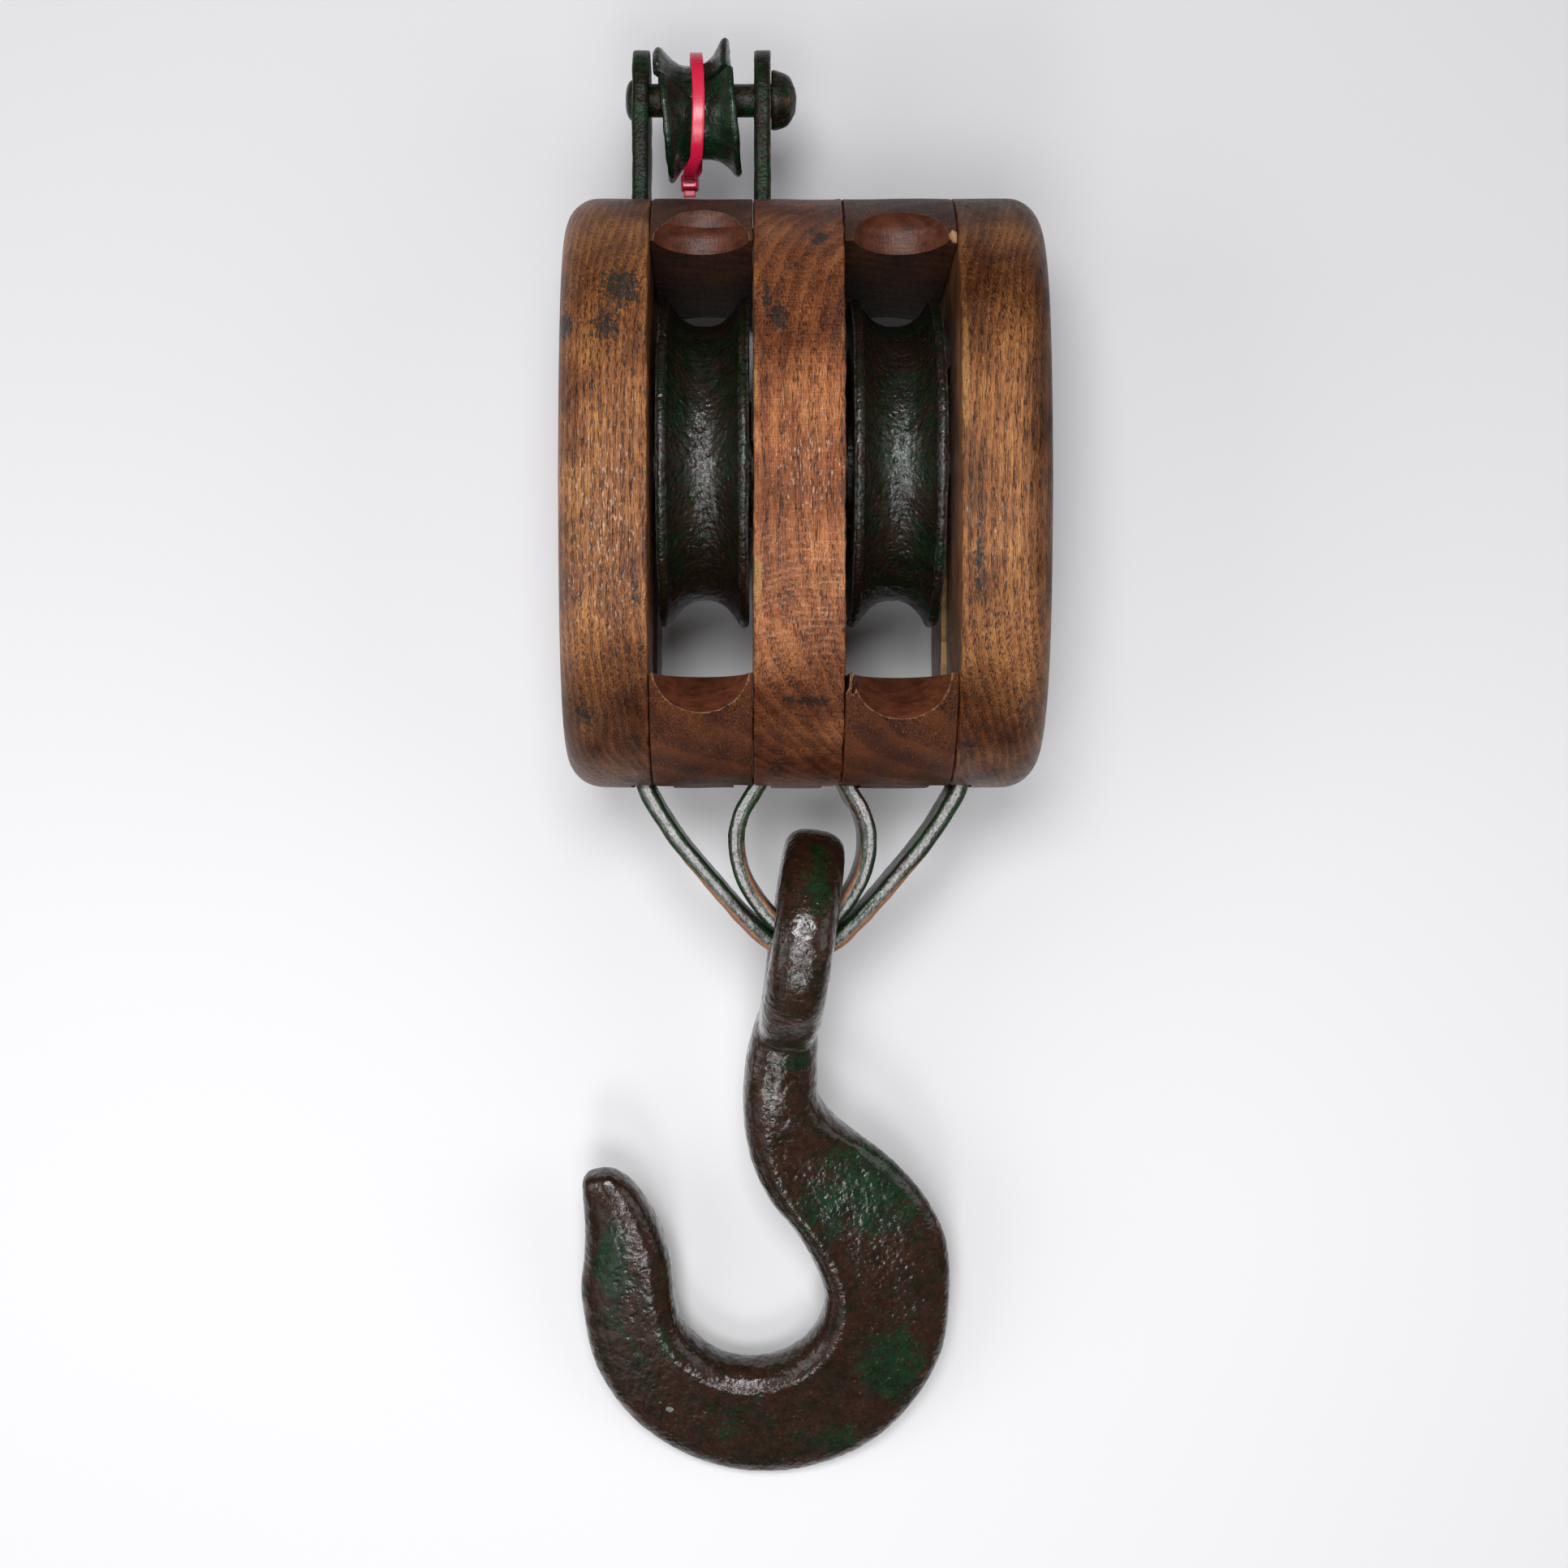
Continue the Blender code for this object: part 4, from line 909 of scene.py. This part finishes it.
def make_strap(name, legs, bow):
    left_x, right_x = legs
    right = [(x * MM, y * MM) for x, y in bow]
    left = [(-x, y) for x, y in right[:-1]]
    start_y = 6 * MM
    points = [(left_x, start_y)] + left + right[::-1] + [(right_x, start_y)]
    bent = smooth_path(points, 1.3 * MM)
    half = STRAP_HALF - SKIN
    stations = []
    ear_steps = 18
    for k in range(ear_steps, -1, -1):
        angle = math.radians(87) * k / ear_steps
        stations.append((Vector((left_x, BECKET.y + half * math.sin(angle), 0)), half * math.cos(angle)))
    for k in range(1, 160):
        stations.append((Vector((left_x, BECKET.y + (start_y - BECKET.y) * k / 160, 0)), half))
    stations += [(point, half) for point in bent]
    for k in range(1, 90):
        stations.append((Vector((right_x, start_y + (STRAP_END_Y - start_y) * k / 89, 0)), half))
    rings = []
    wear = []
    rust = []
    half_t = STRAP_T / 2 - SKIN / 3
    places = [place for place, _ in stations]
    for index, (point, half_w) in enumerate(stations):
        along = heading(places, index)
        side = Vector((-along.y, along.x, 0))
        radius = min(1.7 * MM, 0.8 * half_w)
        ring = []
        for a, b in rounded_section(half_t, half_w, radius, 5, 8):
            ring.append(point + side * a + Vector((0, 0, SHELL_Z + b)))
            marks = strap_wear_sheen_rust(a / half_t, abs(b) > half_w - 0.9 * radius, point.y,
                                name == "outer_strap")
            wear.append(marks[0])
            rust.append(marks[1])
        rings.append(ring)
    strap = new_piece(name + "_bar", loft(rings), [STRAP_IRON, BECKET_IRON], 50)
    for face in strap.data.polygons:
        if face.center.y > SHELL_HIGH.y - 8 * MM:
            face.material_index = 1
    roughen(strap, 8 * MM, 0.3 * MM, None, 3, left_x / MM)
    store(strap, "wear", wear)
    store(strap, "rust", rust)
    stand_for(strap, "shell", "strap_iron", name)


# ---------------------------------------------------------------- sheaves and turned fittings


def make_sheave(hand):
    low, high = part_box("sheave_" + hand)
    centre = (low + high) / 2
    half = (high.x - low.x) / 2
    radius = (high.z - low.z) / 2 - SKIN
    groove = 52.8 * MM
    bore = 14.8 * MM
    corner = 2.0 * MM
    profile = [(half, bore), (half, 24 * MM), (half - 8 * MM, 25.5 * MM), (half - 8 * MM, 43 * MM),
               (half - 0.8 * MM, 45 * MM), (half - 0.8 * MM, radius - 4 * MM)]
    profile += [(half - 2.8 * MM + corner * c, radius - corner + corner * s) for c, s in quarter(6)]
    lip = 13.6 * MM
    rise = radius - 0.3 * MM - groove
    for k in range(45):
        x = lip * (1 - k / 44)
        fall = (x / lip) ** 2.5
        profile.append((x, groove + rise * (0.93 * fall + 0.07 * fall ** 8)))
    start = profile[:-1]
    profile += [(-along, r) for along, r in start[::-1]]
    profile.append(profile[0])
    casting = turned(profile, 300, facing_x(centre))
    sheave = new_piece(f"sheave_{hand}_casting", casting, [SHEAVE_IRON], 60)

    def on_rim(co, normal):
        out = math.hypot(co.y - centre.y, co.z - centre.z)
        return 1.0 if out > 46 * MM and abs(co.x - centre.x) < half - 0.9 * MM else 0.2

    roughen(sheave, 2.6 * MM, 0.2 * MM, on_rim, 2, half + centre.x / MM)
    roughen(sheave, 20 * MM, 0.4 * MM, on_rim, 1, centre.x / MM)

    def lip_wear(co, normal):
        out = math.hypot(co.y - centre.y, co.z - centre.z)
        return 0.75 * max(0.0, 1 - abs(out - radius + 0.8 * MM) / (1.4 * MM))

    mark(sheave, wear=lip_wear, rust=lambda co, normal: 0.3)
    stand_for(sheave, hand + "_sheave", "sheave_iron", "sheave_" + hand)


def make_becket_pin():
    low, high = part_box("becket_pin")
    head_x = INNER_LEGS[0] + STRAP_T / 2 + GAP
    peen_x = OUTER_LEGS[0] - STRAP_T / 2 - GAP
    profile = [(high.x - SKIN, 0.0)]
    dome = high.x - SKIN - head_x
    for c, s in quarter(14)[1:]:
        profile.append((head_x + 0.7 * MM + (dome - 0.7 * MM) * c ** 0.9, 11.2 * MM * s ** 0.85))
    profile += [(head_x, 10.9 * MM), (head_x, 6.35 * MM)]
    for k in range(1, 30):
        profile.append((head_x + (peen_x - head_x) * k / 30, 6.3 * MM))
    profile += [(peen_x, 6.35 * MM), (peen_x, 7.8 * MM)]
    rise = peen_x - low.x - SKIN
    profile += [(peen_x - rise * s, 7.8 * MM * c ** 0.7) for c, s in quarter(8)[1:]]
    turned_pin = turned(profile, 72, facing_x((0, BECKET.y, SHELL_Z)))
    pin = new_piece("becket_pin_rivet", turned_pin, [BECKET_IRON], 50)
    roughen(pin, 5 * MM, 0.5 * MM, lambda co, normal: 1.0 if co.x > head_x else 0.2, 2, 4.0)
    mark(pin, wear=lambda co, normal: 0.45 * abs(normal.x) if co.x > head_x else 0.2,
         rust=lambda co, normal: 0.5)
    stand_for(pin, "shell", "fitting_iron", "becket_pin")


def stadium_ring(y_low, y_high, z_low, z_high, grow=0.0):
    radius = (z_high - z_low) / 2 + grow
    centre_z = (z_low + z_high) / 2
    points = []
    for end in (0, 1):
        middle_y = y_high - radius + grow if end == 0 else y_low + radius - grow
        for k in range(17):
            angle = math.pi * (k / 16 - 0.5 + end)
            points.append((middle_y + radius * math.cos(angle), centre_z + radius * math.sin(angle)))
    return points


def make_keeper(side):
    """An inlaid plate with softened edges, and its two slotted screws."""
    hand = "left" if side < 0 else "right"
    low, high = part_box("keeper_plate_" + hand)
    outer = high.x if side > 0 else low.x
    inner = low.x if side > 0 else high.x
    rings = []
    for x, shrink in ((inner, 0.0), (outer - side * 0.7 * MM, 0.0), (outer - side * 0.25 * MM, 0.25 * MM),
                      (outer, 0.8 * MM), (outer, 4 * MM), (outer, 8 * MM)):
        ring = stadium_ring(low.y + shrink, high.y - shrink, low.z + shrink, high.z - shrink)
        rings.append([(x, y, z) for y, z in ring])
    plate = new_piece(f"keeper_{hand}_plate", loft(rings), [KEEPER_IRON])
    cutters = []
    for end in ("bottom", "top"):
        screw_low, screw_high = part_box(f"keeper_screw_{hand}_{end}")
        spot = (screw_low + screw_high) / 2
        spot.x = outer
        matrix = placed(spot, side * math.pi / 2, "Y")
        profile = [(0.1 * MM, 0.0), (0.05 * MM, 2.5 * MM), (-0.15 * MM, 3.85 * MM), (-0.5 * MM, 3.9 * MM),
                   (-2.1 * MM, 2.0 * MM), (-12 * MM, 1.8 * MM), (-13 * MM, 0.0)]
        screw = new_piece(f"keeper_screw_{hand}_{end}_slotted", turned(profile, 40, matrix), [STEEL])
        slot_turn = Matrix.Rotation(0.6 if end == "top" else 2.1, 4, "Z")
        bm = cube((9 * MM, 1.0 * MM, 2.0 * MM))
        bmesh.ops.transform(bm, matrix=matrix @ slot_turn, verts=bm.verts)
        carve(screw, [new_piece("slot", bm, [STEEL])])
        stand_for(screw, "shell", "bare_steel", f"keeper_screw_{hand}_{end}")
        cone = [(1.0 * MM, 0.0), (1.0 * MM, 4.2 * MM), (-0.4 * MM, 4.2 * MM), (-2.4 * MM, 2.2 * MM),
                (-6 * MM, 2.2 * MM), (-6 * MM, 0.0)]
        cutters.append(new_piece(f"sink_{end}", turned(cone, 40, matrix), [KEEPER_IRON]))
    carve(plate, cutters)
    roughen(plate, 12 * MM, 0.2 * MM, None, 2, 3.0 + side)
    mark(plate, wear=lambda co, normal: 0.5 * (1 - abs(normal.x)), rust=lambda co, normal: 0.4)
    stand_for(plate, "shell", "keeper_iron", "keeper_plate_" + hand)


def make_rivet(end, face):
    """A through rivet with hammered heads, and the washer under each."""
    low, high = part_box(f"rivet_{end}_{face}")
    centre = (low + high) / 2
    half = high.x - 0.1 * MM
    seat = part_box(f"washer_{end}_{face}_right")[1].x + 0.1 * MM
    profile = [(half, 0.0)]
    profile += [(seat + (half - seat) * c ** 0.8, 5.1 * MM * s) for c, s in quarter(8)[1:]]
    profile += [(seat, 3.5 * MM)]
    profile += [(-along, r) for along, r in profile[::-1]]
    shank = turned(profile, 40, facing_x((0, centre.y, centre.z)))
    rivet = new_piece(f"rivet_{end}_{face}_hammered", shank, [STEEL], 50)
    roughen(rivet, 2.2 * MM, 0.3 * MM, None, 2, centre.y / MM)
    stand_for(rivet, "shell", "bare_steel", f"rivet_{end}_{face}")
    for hand, side in (("left", -1), ("right", 1)):
        node = f"washer_{end}_{face}_{hand}"
        low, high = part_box(node)
        spot = (low + high) / 2
        half_t = (high.x - low.x) / 2
        outside = (high.y - low.y) / 2
        edge = 0.35 * MM
        ring = [(half_t, 3.9 * MM), (half_t, outside - edge), (half_t - edge, outside),
                (edge - half_t, outside), (-half_t, outside - edge), (-half_t, 3.9 * MM),
                (half_t, 3.9 * MM)]
        washer = new_piece(node + "_disc", turned(ring, 48, facing_x(spot)), [STEEL])
        roughen(washer, 4 * MM, 0.15 * MM, None, 2, side + centre.z / MM)
        stand_for(washer, "shell", "bare_steel", node)


# ---------------------------------------------------------------- thimble and tie


THIMBLE_X = -40.3 * MM
THIMBLE_LEAN = math.radians(5.5)
OVAL = (16.5 * MM, 12.9 * MM)
OVAL_OFFSET = (-3.9 * MM, -3.4 * MM)


def thimble_ring(angle):
    """One section of the trough at an angle round the oval, as points from the pin."""
    turn = math.radians(angle)
    centre = Vector((0, OVAL[0] * math.cos(turn) + OVAL_OFFSET[0],
                     OVAL[1] * math.sin(turn) + OVAL_OFFSET[1]))
    out = Vector((0, math.cos(turn) / OVAL[0], math.sin(turn) / OVAL[1])).normalized()
    horn = max(0.0, 1 - abs(angle - 388) / 30) ** 1.3
    shift = -1.8 * MM * ease(angle, 365, 415)
    half = 13.0 * MM
    wall = 1.45 * MM
    count = 30
    outside = []
    inside = []
    lips = []
    for k in range(count + 1):
        across = 2 * k / count - 1
        height = (7.9 + (2.8 if across > 0 else 1.2) * horn) * MM
        rise = height * abs(across) ** 2.4
        slope = height * 2.4 * abs(across) ** 1.4 * math.copysign(1, across) / half
        normal = Vector((-slope, 1)).normalized()
        centre_line = Vector((across * half, rise))
        outside.append(centre_line + normal * wall)
        inside.append(centre_line - normal * wall)
        lips.append((centre_line, normal))
    section = list(outside)
    for lip, way in ((lips[-1], 1), (lips[0], -1)):
        centre_line, normal = lip
        tangent = Vector((normal.y, -normal.x)) * way
        for step in (1, 2, 3):
            phi = math.pi * step / 4
            section.append(centre_line + (normal * way * math.cos(phi) + tangent * math.sin(phi)) * wall)
        if way > 0:
            section += inside[::-1]
    return [centre + out * point.y + Vector((point.x + shift, 0, 0)) for point in section]


def make_thimble():
    rings = [thimble_ring(62 + 357 * k / 170) for k in range(171)]
    matrix = placed((THIMBLE_X, BECKET.y, SHELL_Z), THIMBLE_LEAN, "Z")
    rings = [[matrix @ point for point in ring] for ring in rings]
    thimble = new_piece("thimble_trough", loft(rings), [THIMBLE_IRON], 60)
    roughen(thimble, 8 * MM, 0.4 * MM, None, 3, 11.0)
    axis = Vector((-math.sin(THIMBLE_LEAN), math.cos(THIMBLE_LEAN)))

    def flange(co):
        across = (co.x - THIMBLE_X) * axis.y - (co.y - BECKET.y) * axis.x
        return ease(abs(across), 12.3 * MM, 14.0 * MM)

    mark(thimble, wear=lambda co, normal: 0.62 * flange(co) * max(0.3, normal.z),
         rust=lambda co, normal: 0.45 * flange(co))
    stand_for(thimble, "thimble", "thimble_iron", "thimble")


def make_tie():
    """The cable tie: a bowed strap, its ribbed tail and its head with the pawl window."""
    tie_x = -41.3 * MM
    head_x = -43.9 * MM
    route = [(-28.3, -12.9), (-28.5, -8), (-27.6, -2), (-24.2, 5.4), (-17.6, 11), (-8, 13.7), (4, 13.4),
             (10.2, 11.7), (15.7, 6.4), (18.2, -2), (16.4, -10), (8.8, -18.1), (-4, -21.4), (-14, -20.2),
             (-20, -17.2), (-25, -15.1), (-33.9, -14.9)]
    path = smooth_path([(y * MM, z * MM) for y, z in route], 0.7 * MM)
    rings = []
    section = rounded_section(0.62 * MM, 2.4 * MM, 0.35 * MM, 3, 4)
    for index, point in enumerate(path):
        along = heading(path, index)
        side = Vector((0, -along.y, along.x))
        arch = max(0.0, 1 - ((point.x + 4 * MM) / (24 * MM)) ** 2)
        bow = 1.5 * MM * arch * ease(point.y, -8 * MM, 4 * MM)
        x = tie_x + bow + (head_x - tie_x) * ease(-point.x, 23 * MM, 28.5 * MM)
        rib = 0.78 if index % 2 and point.y < -12 * MM else 1.0
        base = Vector((x, BECKET.y + point.x, SHELL_Z + point.y))
        rings.append([base + side * (a * rib) + Vector((b, 0, 0)) for a, b in section])
    strap = new_piece("cable_tie_strap", loft(rings), [TIE_PLASTIC], 50)
    stand_for(strap, "thimble", "tie_plastic", "cable_tie")
    bm = cube((7.6 * MM, 6.0 * MM, 6.3 * MM))
    for vertex in bm.verts:
        if vertex.co.z > 0:
            vertex.co.x *= 0.86
            vertex.co.y *= 0.9
    bmesh.ops.bevel(bm, geom=bm.edges[:], offset=0.9 * MM, segments=4, profile=0.5, affect="EDGES")
    centre = Vector((head_x, BECKET.y - 28.6 * MM, SHELL_Z - 13.8 * MM))
    bmesh.ops.translate(bm, vec=centre, verts=bm.verts)
    head = new_piece("cable_tie_head", bm, [TIE_PLASTIC], 50)
    window = centre + Vector((-2.6 * MM, -3.6 * MM, -1.9 * MM))
    window_end = centre + Vector((2.6 * MM, -2.0 * MM, 1.2 * MM))
    groove = centre + Vector((-2.1 * MM, -1.0 * MM, 2.6 * MM))
    groove_end = centre + Vector((2.1 * MM, 0.9 * MM, 4 * MM))
    carve(head, [box_cutter("pawl", window, window_end, TIE_PLASTIC),
                 box_cutter("groove", groove, groove_end, TIE_PLASTIC)])
    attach(head, "thimble")


# ---------------------------------------------------------------- hook


HOOK_CENTRE = Vector((0.0, -63.5 * MM, 73.0 * MM))
HOOK_PITCH = math.radians(16.7)
HOOK_SLEW = math.radians(-8.2)


def hook_stations():
    """(inner point, outer point, thickness) along the hook, in millimetres."""
    stations = [
        ((-9.5, -28), (9.5, -28), 12),
        ((-12.4, -34), (11.8, -34), 20),
        ((-13.8, -41), (12.8, -41), 23.5),
        ((-14.6, -49), (13.6, -49), 25),
        ((-14.4, -58), (14.8, -57), 26),
        ((-13.6, -69), (17.0, -66), 26.5),
        ((-10.9, -83), (27.6, -75.5), 25.5),
        ((-5.5, -98), (46.8, -86), 24.5),
        ((4.0, -112.8), (64.2, -101), 24.5),
        ((14.6, -123), (75.8, -118), 24.5),
    ]
    for k in range(9):
        inner_angle = math.radians(38 - 26.5 * k)
        outer_angle = math.radians(15 - 23.5 * k)
        inner = (1.0 + 30.6 * math.cos(inner_angle), -156.0 + 30.4 * math.sin(inner_angle))
        outer = (8.0 + 75.4 * math.cos(outer_angle), -157.8 + 79.8 * math.sin(outer_angle))
        stations.append((inner, outer, 24.5 - 0.25 * k))
    stations += [
        ((-33.2, -144), (-68.0, -149), 21.8),
        ((-41.1, -128.5), (-69.4, -134), 20.4),
        ((-50.6, -115.9), (-71.8, -122.5), 17.4),
        ((-58.7, -110.9), (-72.5, -116), 13.5),
        ((-64.0, -110.2), (-70.8, -112.6), 7.5),
    ]
    return stations


def hook_section(inner, outer, thickness, count=24):
    """Steep on the bowl's side up to a crest, then falling away to a thinner rounded back."""
    width = (outer - inner).length
    full = thickness / 2
    crest = min(9.8, width * 0.45)
    wide = min(1.0, max(0.0, (width - 34) / 16))
    square = 2.7 - 0.6 * wide
    upper = []
    for k in range(count + 1):
        s = width * (1 - math.cos(math.pi * k / count)) / 2
        if s < crest:
            height = full * (1 - (1 - s / crest) ** square) ** (1 / square)
        else:
            t = (s - crest) / (width - crest)
            height = full * (1 - 0.5 * wide * t ** 0.9)
            height *= max(0.0, 1 - t ** (2.7 + 8.3 * wide)) ** (1 / (2.7 - 0.7 * wide))
        height *= 1 - 0.06 * wide * (1 - math.exp(-((s - crest) / 4.6) ** 2))
        upper.append((inner.lerp(outer, s / width), height))
    ring = [Vector((p.x, p.y, h)) for p, h in upper]
    ring += [Vector((p.x, p.y, -h)) for p, h in upper[-2:0:-1]]
    return ring


def flatten(mesh_object):
    """Replaces a mesh by the result of its modifiers."""
    bpy.context.view_layer.update()
    evaluated = mesh_object.evaluated_get(bpy.context.evaluated_depsgraph_get())
    mesh = bpy.data.meshes.new_from_object(evaluated)
    mesh_object.modifiers.clear()
    mesh_object.data = mesh


def make_hook():
    stations = hook_stations()
    flat = [tuple(s[0]) + tuple(s[1]) + (s[2],) for s in stations]
    flat = [np.array(values, dtype=float) for values in [flat[0]] + flat + [flat[-1]]]
    rings = []
    for a, b, c, d in zip(flat, flat[1:], flat[2:], flat[3:]):
        for k in range(8):
            x0, y0, x1, y1, thickness = between(a, b, c, d, k / 8)
            rings.append([p * MM for p in hook_section(Vector((x0, y0)), Vector((x1, y1)), thickness)])
    body = new_piece("hook_forging", loft(rings), [HOOK_IRON])
    profile = []
    for k in range(33):
        angle = 2 * math.pi * k / 32
        c, s = math.cos(angle), math.sin(angle)
        profile.append((-11.9 * MM * math.copysign(abs(s) ** 0.72, s),
                        33.3 * MM + 9.7 * MM * math.copysign(abs(c) ** 0.8, c)))
    eye = new_piece("hook_eye", turned(profile, 120, Matrix.Rotation(math.pi / 2, 4, "Y")), [HOOK_IRON])
    union = body.modifiers.new("eye", "BOOLEAN")
    union.operation = "UNION"
    union.object = eye
    union.solver = "EXACT"
    remesh = body.modifiers.new("one skin", "REMESH")
    remesh.mode = "VOXEL"
    remesh.voxel_size = 0.85 * MM
    soften = body.modifiers.new("forged", "SMOOTH")
    soften.iterations = 7
    soften.factor = 0.6
    flatten(body)
    bpy.data.objects.remove(eye, do_unlink=True)
    seam = body.vertex_groups.new(name="seam")
    for vertex in body.data.vertices:
        slant = vertex.co.y / MM + 40.5 - 0.42 * vertex.co.x / MM
        weight = 1 - ease(abs(slant), 3, 12)
        if weight > 0:
            seam.add([vertex.index], weight, "REPLACE")
    blend = body.modifiers.new("blend", "SMOOTH")
    blend.vertex_group = "seam"
    blend.iterations = 60
    blend.factor = 0.7
    flatten(body)
    roughen(body, 24 * MM, 0.34 * MM, None, 1, 21.0)
    roughen(body, 2.6 * MM, 0.13 * MM, None, 2, 22.0)
    mesh = body.data
    mesh.materials.clear()
    mesh.materials.append(HOOK_IRON)
    mesh.shade_smooth()
    turn = Matrix.Rotation(HOOK_SLEW, 4, "Z") @ Matrix.Rotation(HOOK_PITCH, 4, "X")
    mesh.transform(Matrix.Translation(HOOK_CENTRE) @ turn)
    # Real chips near the bowl, and painted highlights as bare-metal streaks along the shank's crest and on
    # the eye.
    scuffs_and_sheen = blobs([(-53.2, -261, 2.6, 2.2, 1.1), (-57, -258, 1.5, 1.5, 0.8), (34, -196, 1.3, 1.5, 0.9),
                    (-9.5, -124, 4.5, 20, 0.62), (-6, -148, 3.5, 18, 0.55), (-6.5, -64, 4, 20, 0.5)])
    greens = blobs([(24, -166, 27, 25, 1.0), (36, -241, 20, 23, 1.0), (-75, -201, 9, 28, 1.0),
                    (-62, -252, 11, 11, 0.8), (6, -38, 7, 16, 0.9), (-3, -112, 14, 7, 1.1),
                    (10, -272, 22, 8, 0.6)])
    rusty = blobs([(-20, -120, 40, 70, 0.5), (-70, -200, 26, 60, 0.5), (20, -270, 60, 30, 0.45)])
    mark(body, wear=scuffs_and_sheen, tint=lambda co, normal: 1.9 * greens(co, normal) - 0.7, rust=rusty)
    stand_for(body, "hook", "hook_iron", "hook")


# ---------------------------------------------------------------- floor, light and camera


def make_stage():
    bm = bmesh.new()
    bmesh.ops.create_grid(bm, x_segments=8, y_segments=8, size=3.0)
    floor = new_piece("floor", bm, [backdrop()])
    floor.location.z = -0.0004


def add_area(name, place, target, size, power):
    light = bpy.data.lights.new(name, "AREA")
    light.shape = "RECTANGLE"
    light.size = size[0]
    light.size_y = size[1]
    light.energy = power
    obj = bpy.data.objects.new(name, light)
    obj.location = place
    aim = Vector(target) - Vector(place)
    obj.rotation_euler = aim.to_track_quat("-Z", "Y").to_euler()
    bpy.context.scene.collection.objects.link(obj)


def make_light():
    add_area("overhead", (-0.10, 0.29, 1.35), (-0.02, 0.05, 0.0), (0.46, 0.34), 9.8)
    add_area("overhead_hook", (-0.07, -0.32, 1.35), (-0.02, -0.2, 0.0), (0.5, 0.34), 5.4)
    pitched = math.tan(2 * abs(HOOK_PITCH) + 0.035)
    add_area("hook_gleam", (-0.13, -0.13 - 1.25 * pitched, 1.3), (-0.01, -0.14, 0.05), (0.30, 0.36), 3.8)
    add_area("left_window", (-1.2, -0.15, 1.0), (0.0, -0.05, 0.0), (0.9, 1.2), 6.2)
    add_area("near_left", (-0.7, -1.15, 1.0), (0.0, -0.15, 0.0), (0.8, 0.8), 1.2)
    add_area("right_fill", (1.25, 0.0, 1.1), (0.0, 0.0, 0.0), (1.0, 1.2), 4.3)
    world = bpy.data.worlds.new("studio")
    world.use_nodes = True
    world.node_tree.nodes["Background"].inputs["Color"].default_value = (0.97, 0.98, 1.0, 1.0)
    world.node_tree.nodes["Background"].inputs["Strength"].default_value = 0.14
    bpy.context.scene.world = world
    bpy.context.scene.view_settings.view_transform = "Standard"


def make_camera():
    data = bpy.data.cameras.new("camera")
    data.lens = 54.63
    data.sensor_width = 36.0
    data.shift_x = 0.0212
    data.clip_end = 20.0
    camera = bpy.data.objects.new("camera", data)
    camera.location = (-19.75 * MM, -3.2 * MM, 1002 * MM)
    bpy.context.scene.collection.objects.link(camera)
    bpy.context.scene.camera = camera


# ---------------------------------------------------------------- the scene

make_stage()
make_light()
make_camera()
make_cheek(-1)
make_cheek(1)
make_partition()
make_spacer("spacer_top_left", LEFT_SLOT, True, [])
make_spacer("spacer_top_right", RIGHT_SLOT, True, [(54.6, 196.5, 136, (2.3, 3.4, 5.0), 0.5)])
make_spacer("spacer_bottom_left", LEFT_SLOT, False, [])
make_spacer("spacer_bottom_right", RIGHT_SLOT, False, [(18.4, 35, 139, (1.6, 5.5, 7.0), -0.2),
                                                       (14.6, 37, 138, (1.3, 7.5, 30.0), 0.0)])
make_strap("outer_strap", OUTER_LEGS, [
    (60.4, -3.5), (56.2, -12), (48, -24.5), (37.3, -37.5), (28.5, -47.8), (20, -57), (11, -64.6),
    (0, -68.5)])
make_strap("inner_strap", INNER_LEGS, [
    (16, -1.5), (19.3, -7.5), (23.2, -14.5), (25.2, -23), (24.6, -32), (21.5, -41.3), (15.2, -51),
    (8, -58.2), (0, -61.3)])
make_sheave("left")
make_sheave("right")
make_becket_pin()
make_keeper(-1)
make_keeper(1)
for rivet_end in ("bottom", "top"):
    for rivet_face in ("back", "front"):
        make_rivet(rivet_end, rivet_face)
make_thimble()
make_tie()
make_hook()
for node_name, material in (("axle_pin", STEEL), ("bush_left", BRONZE), ("bush_right", BRONZE)):
    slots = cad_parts[node_name].material_slots
    for material_slot in slots:
        material_slot.material = material
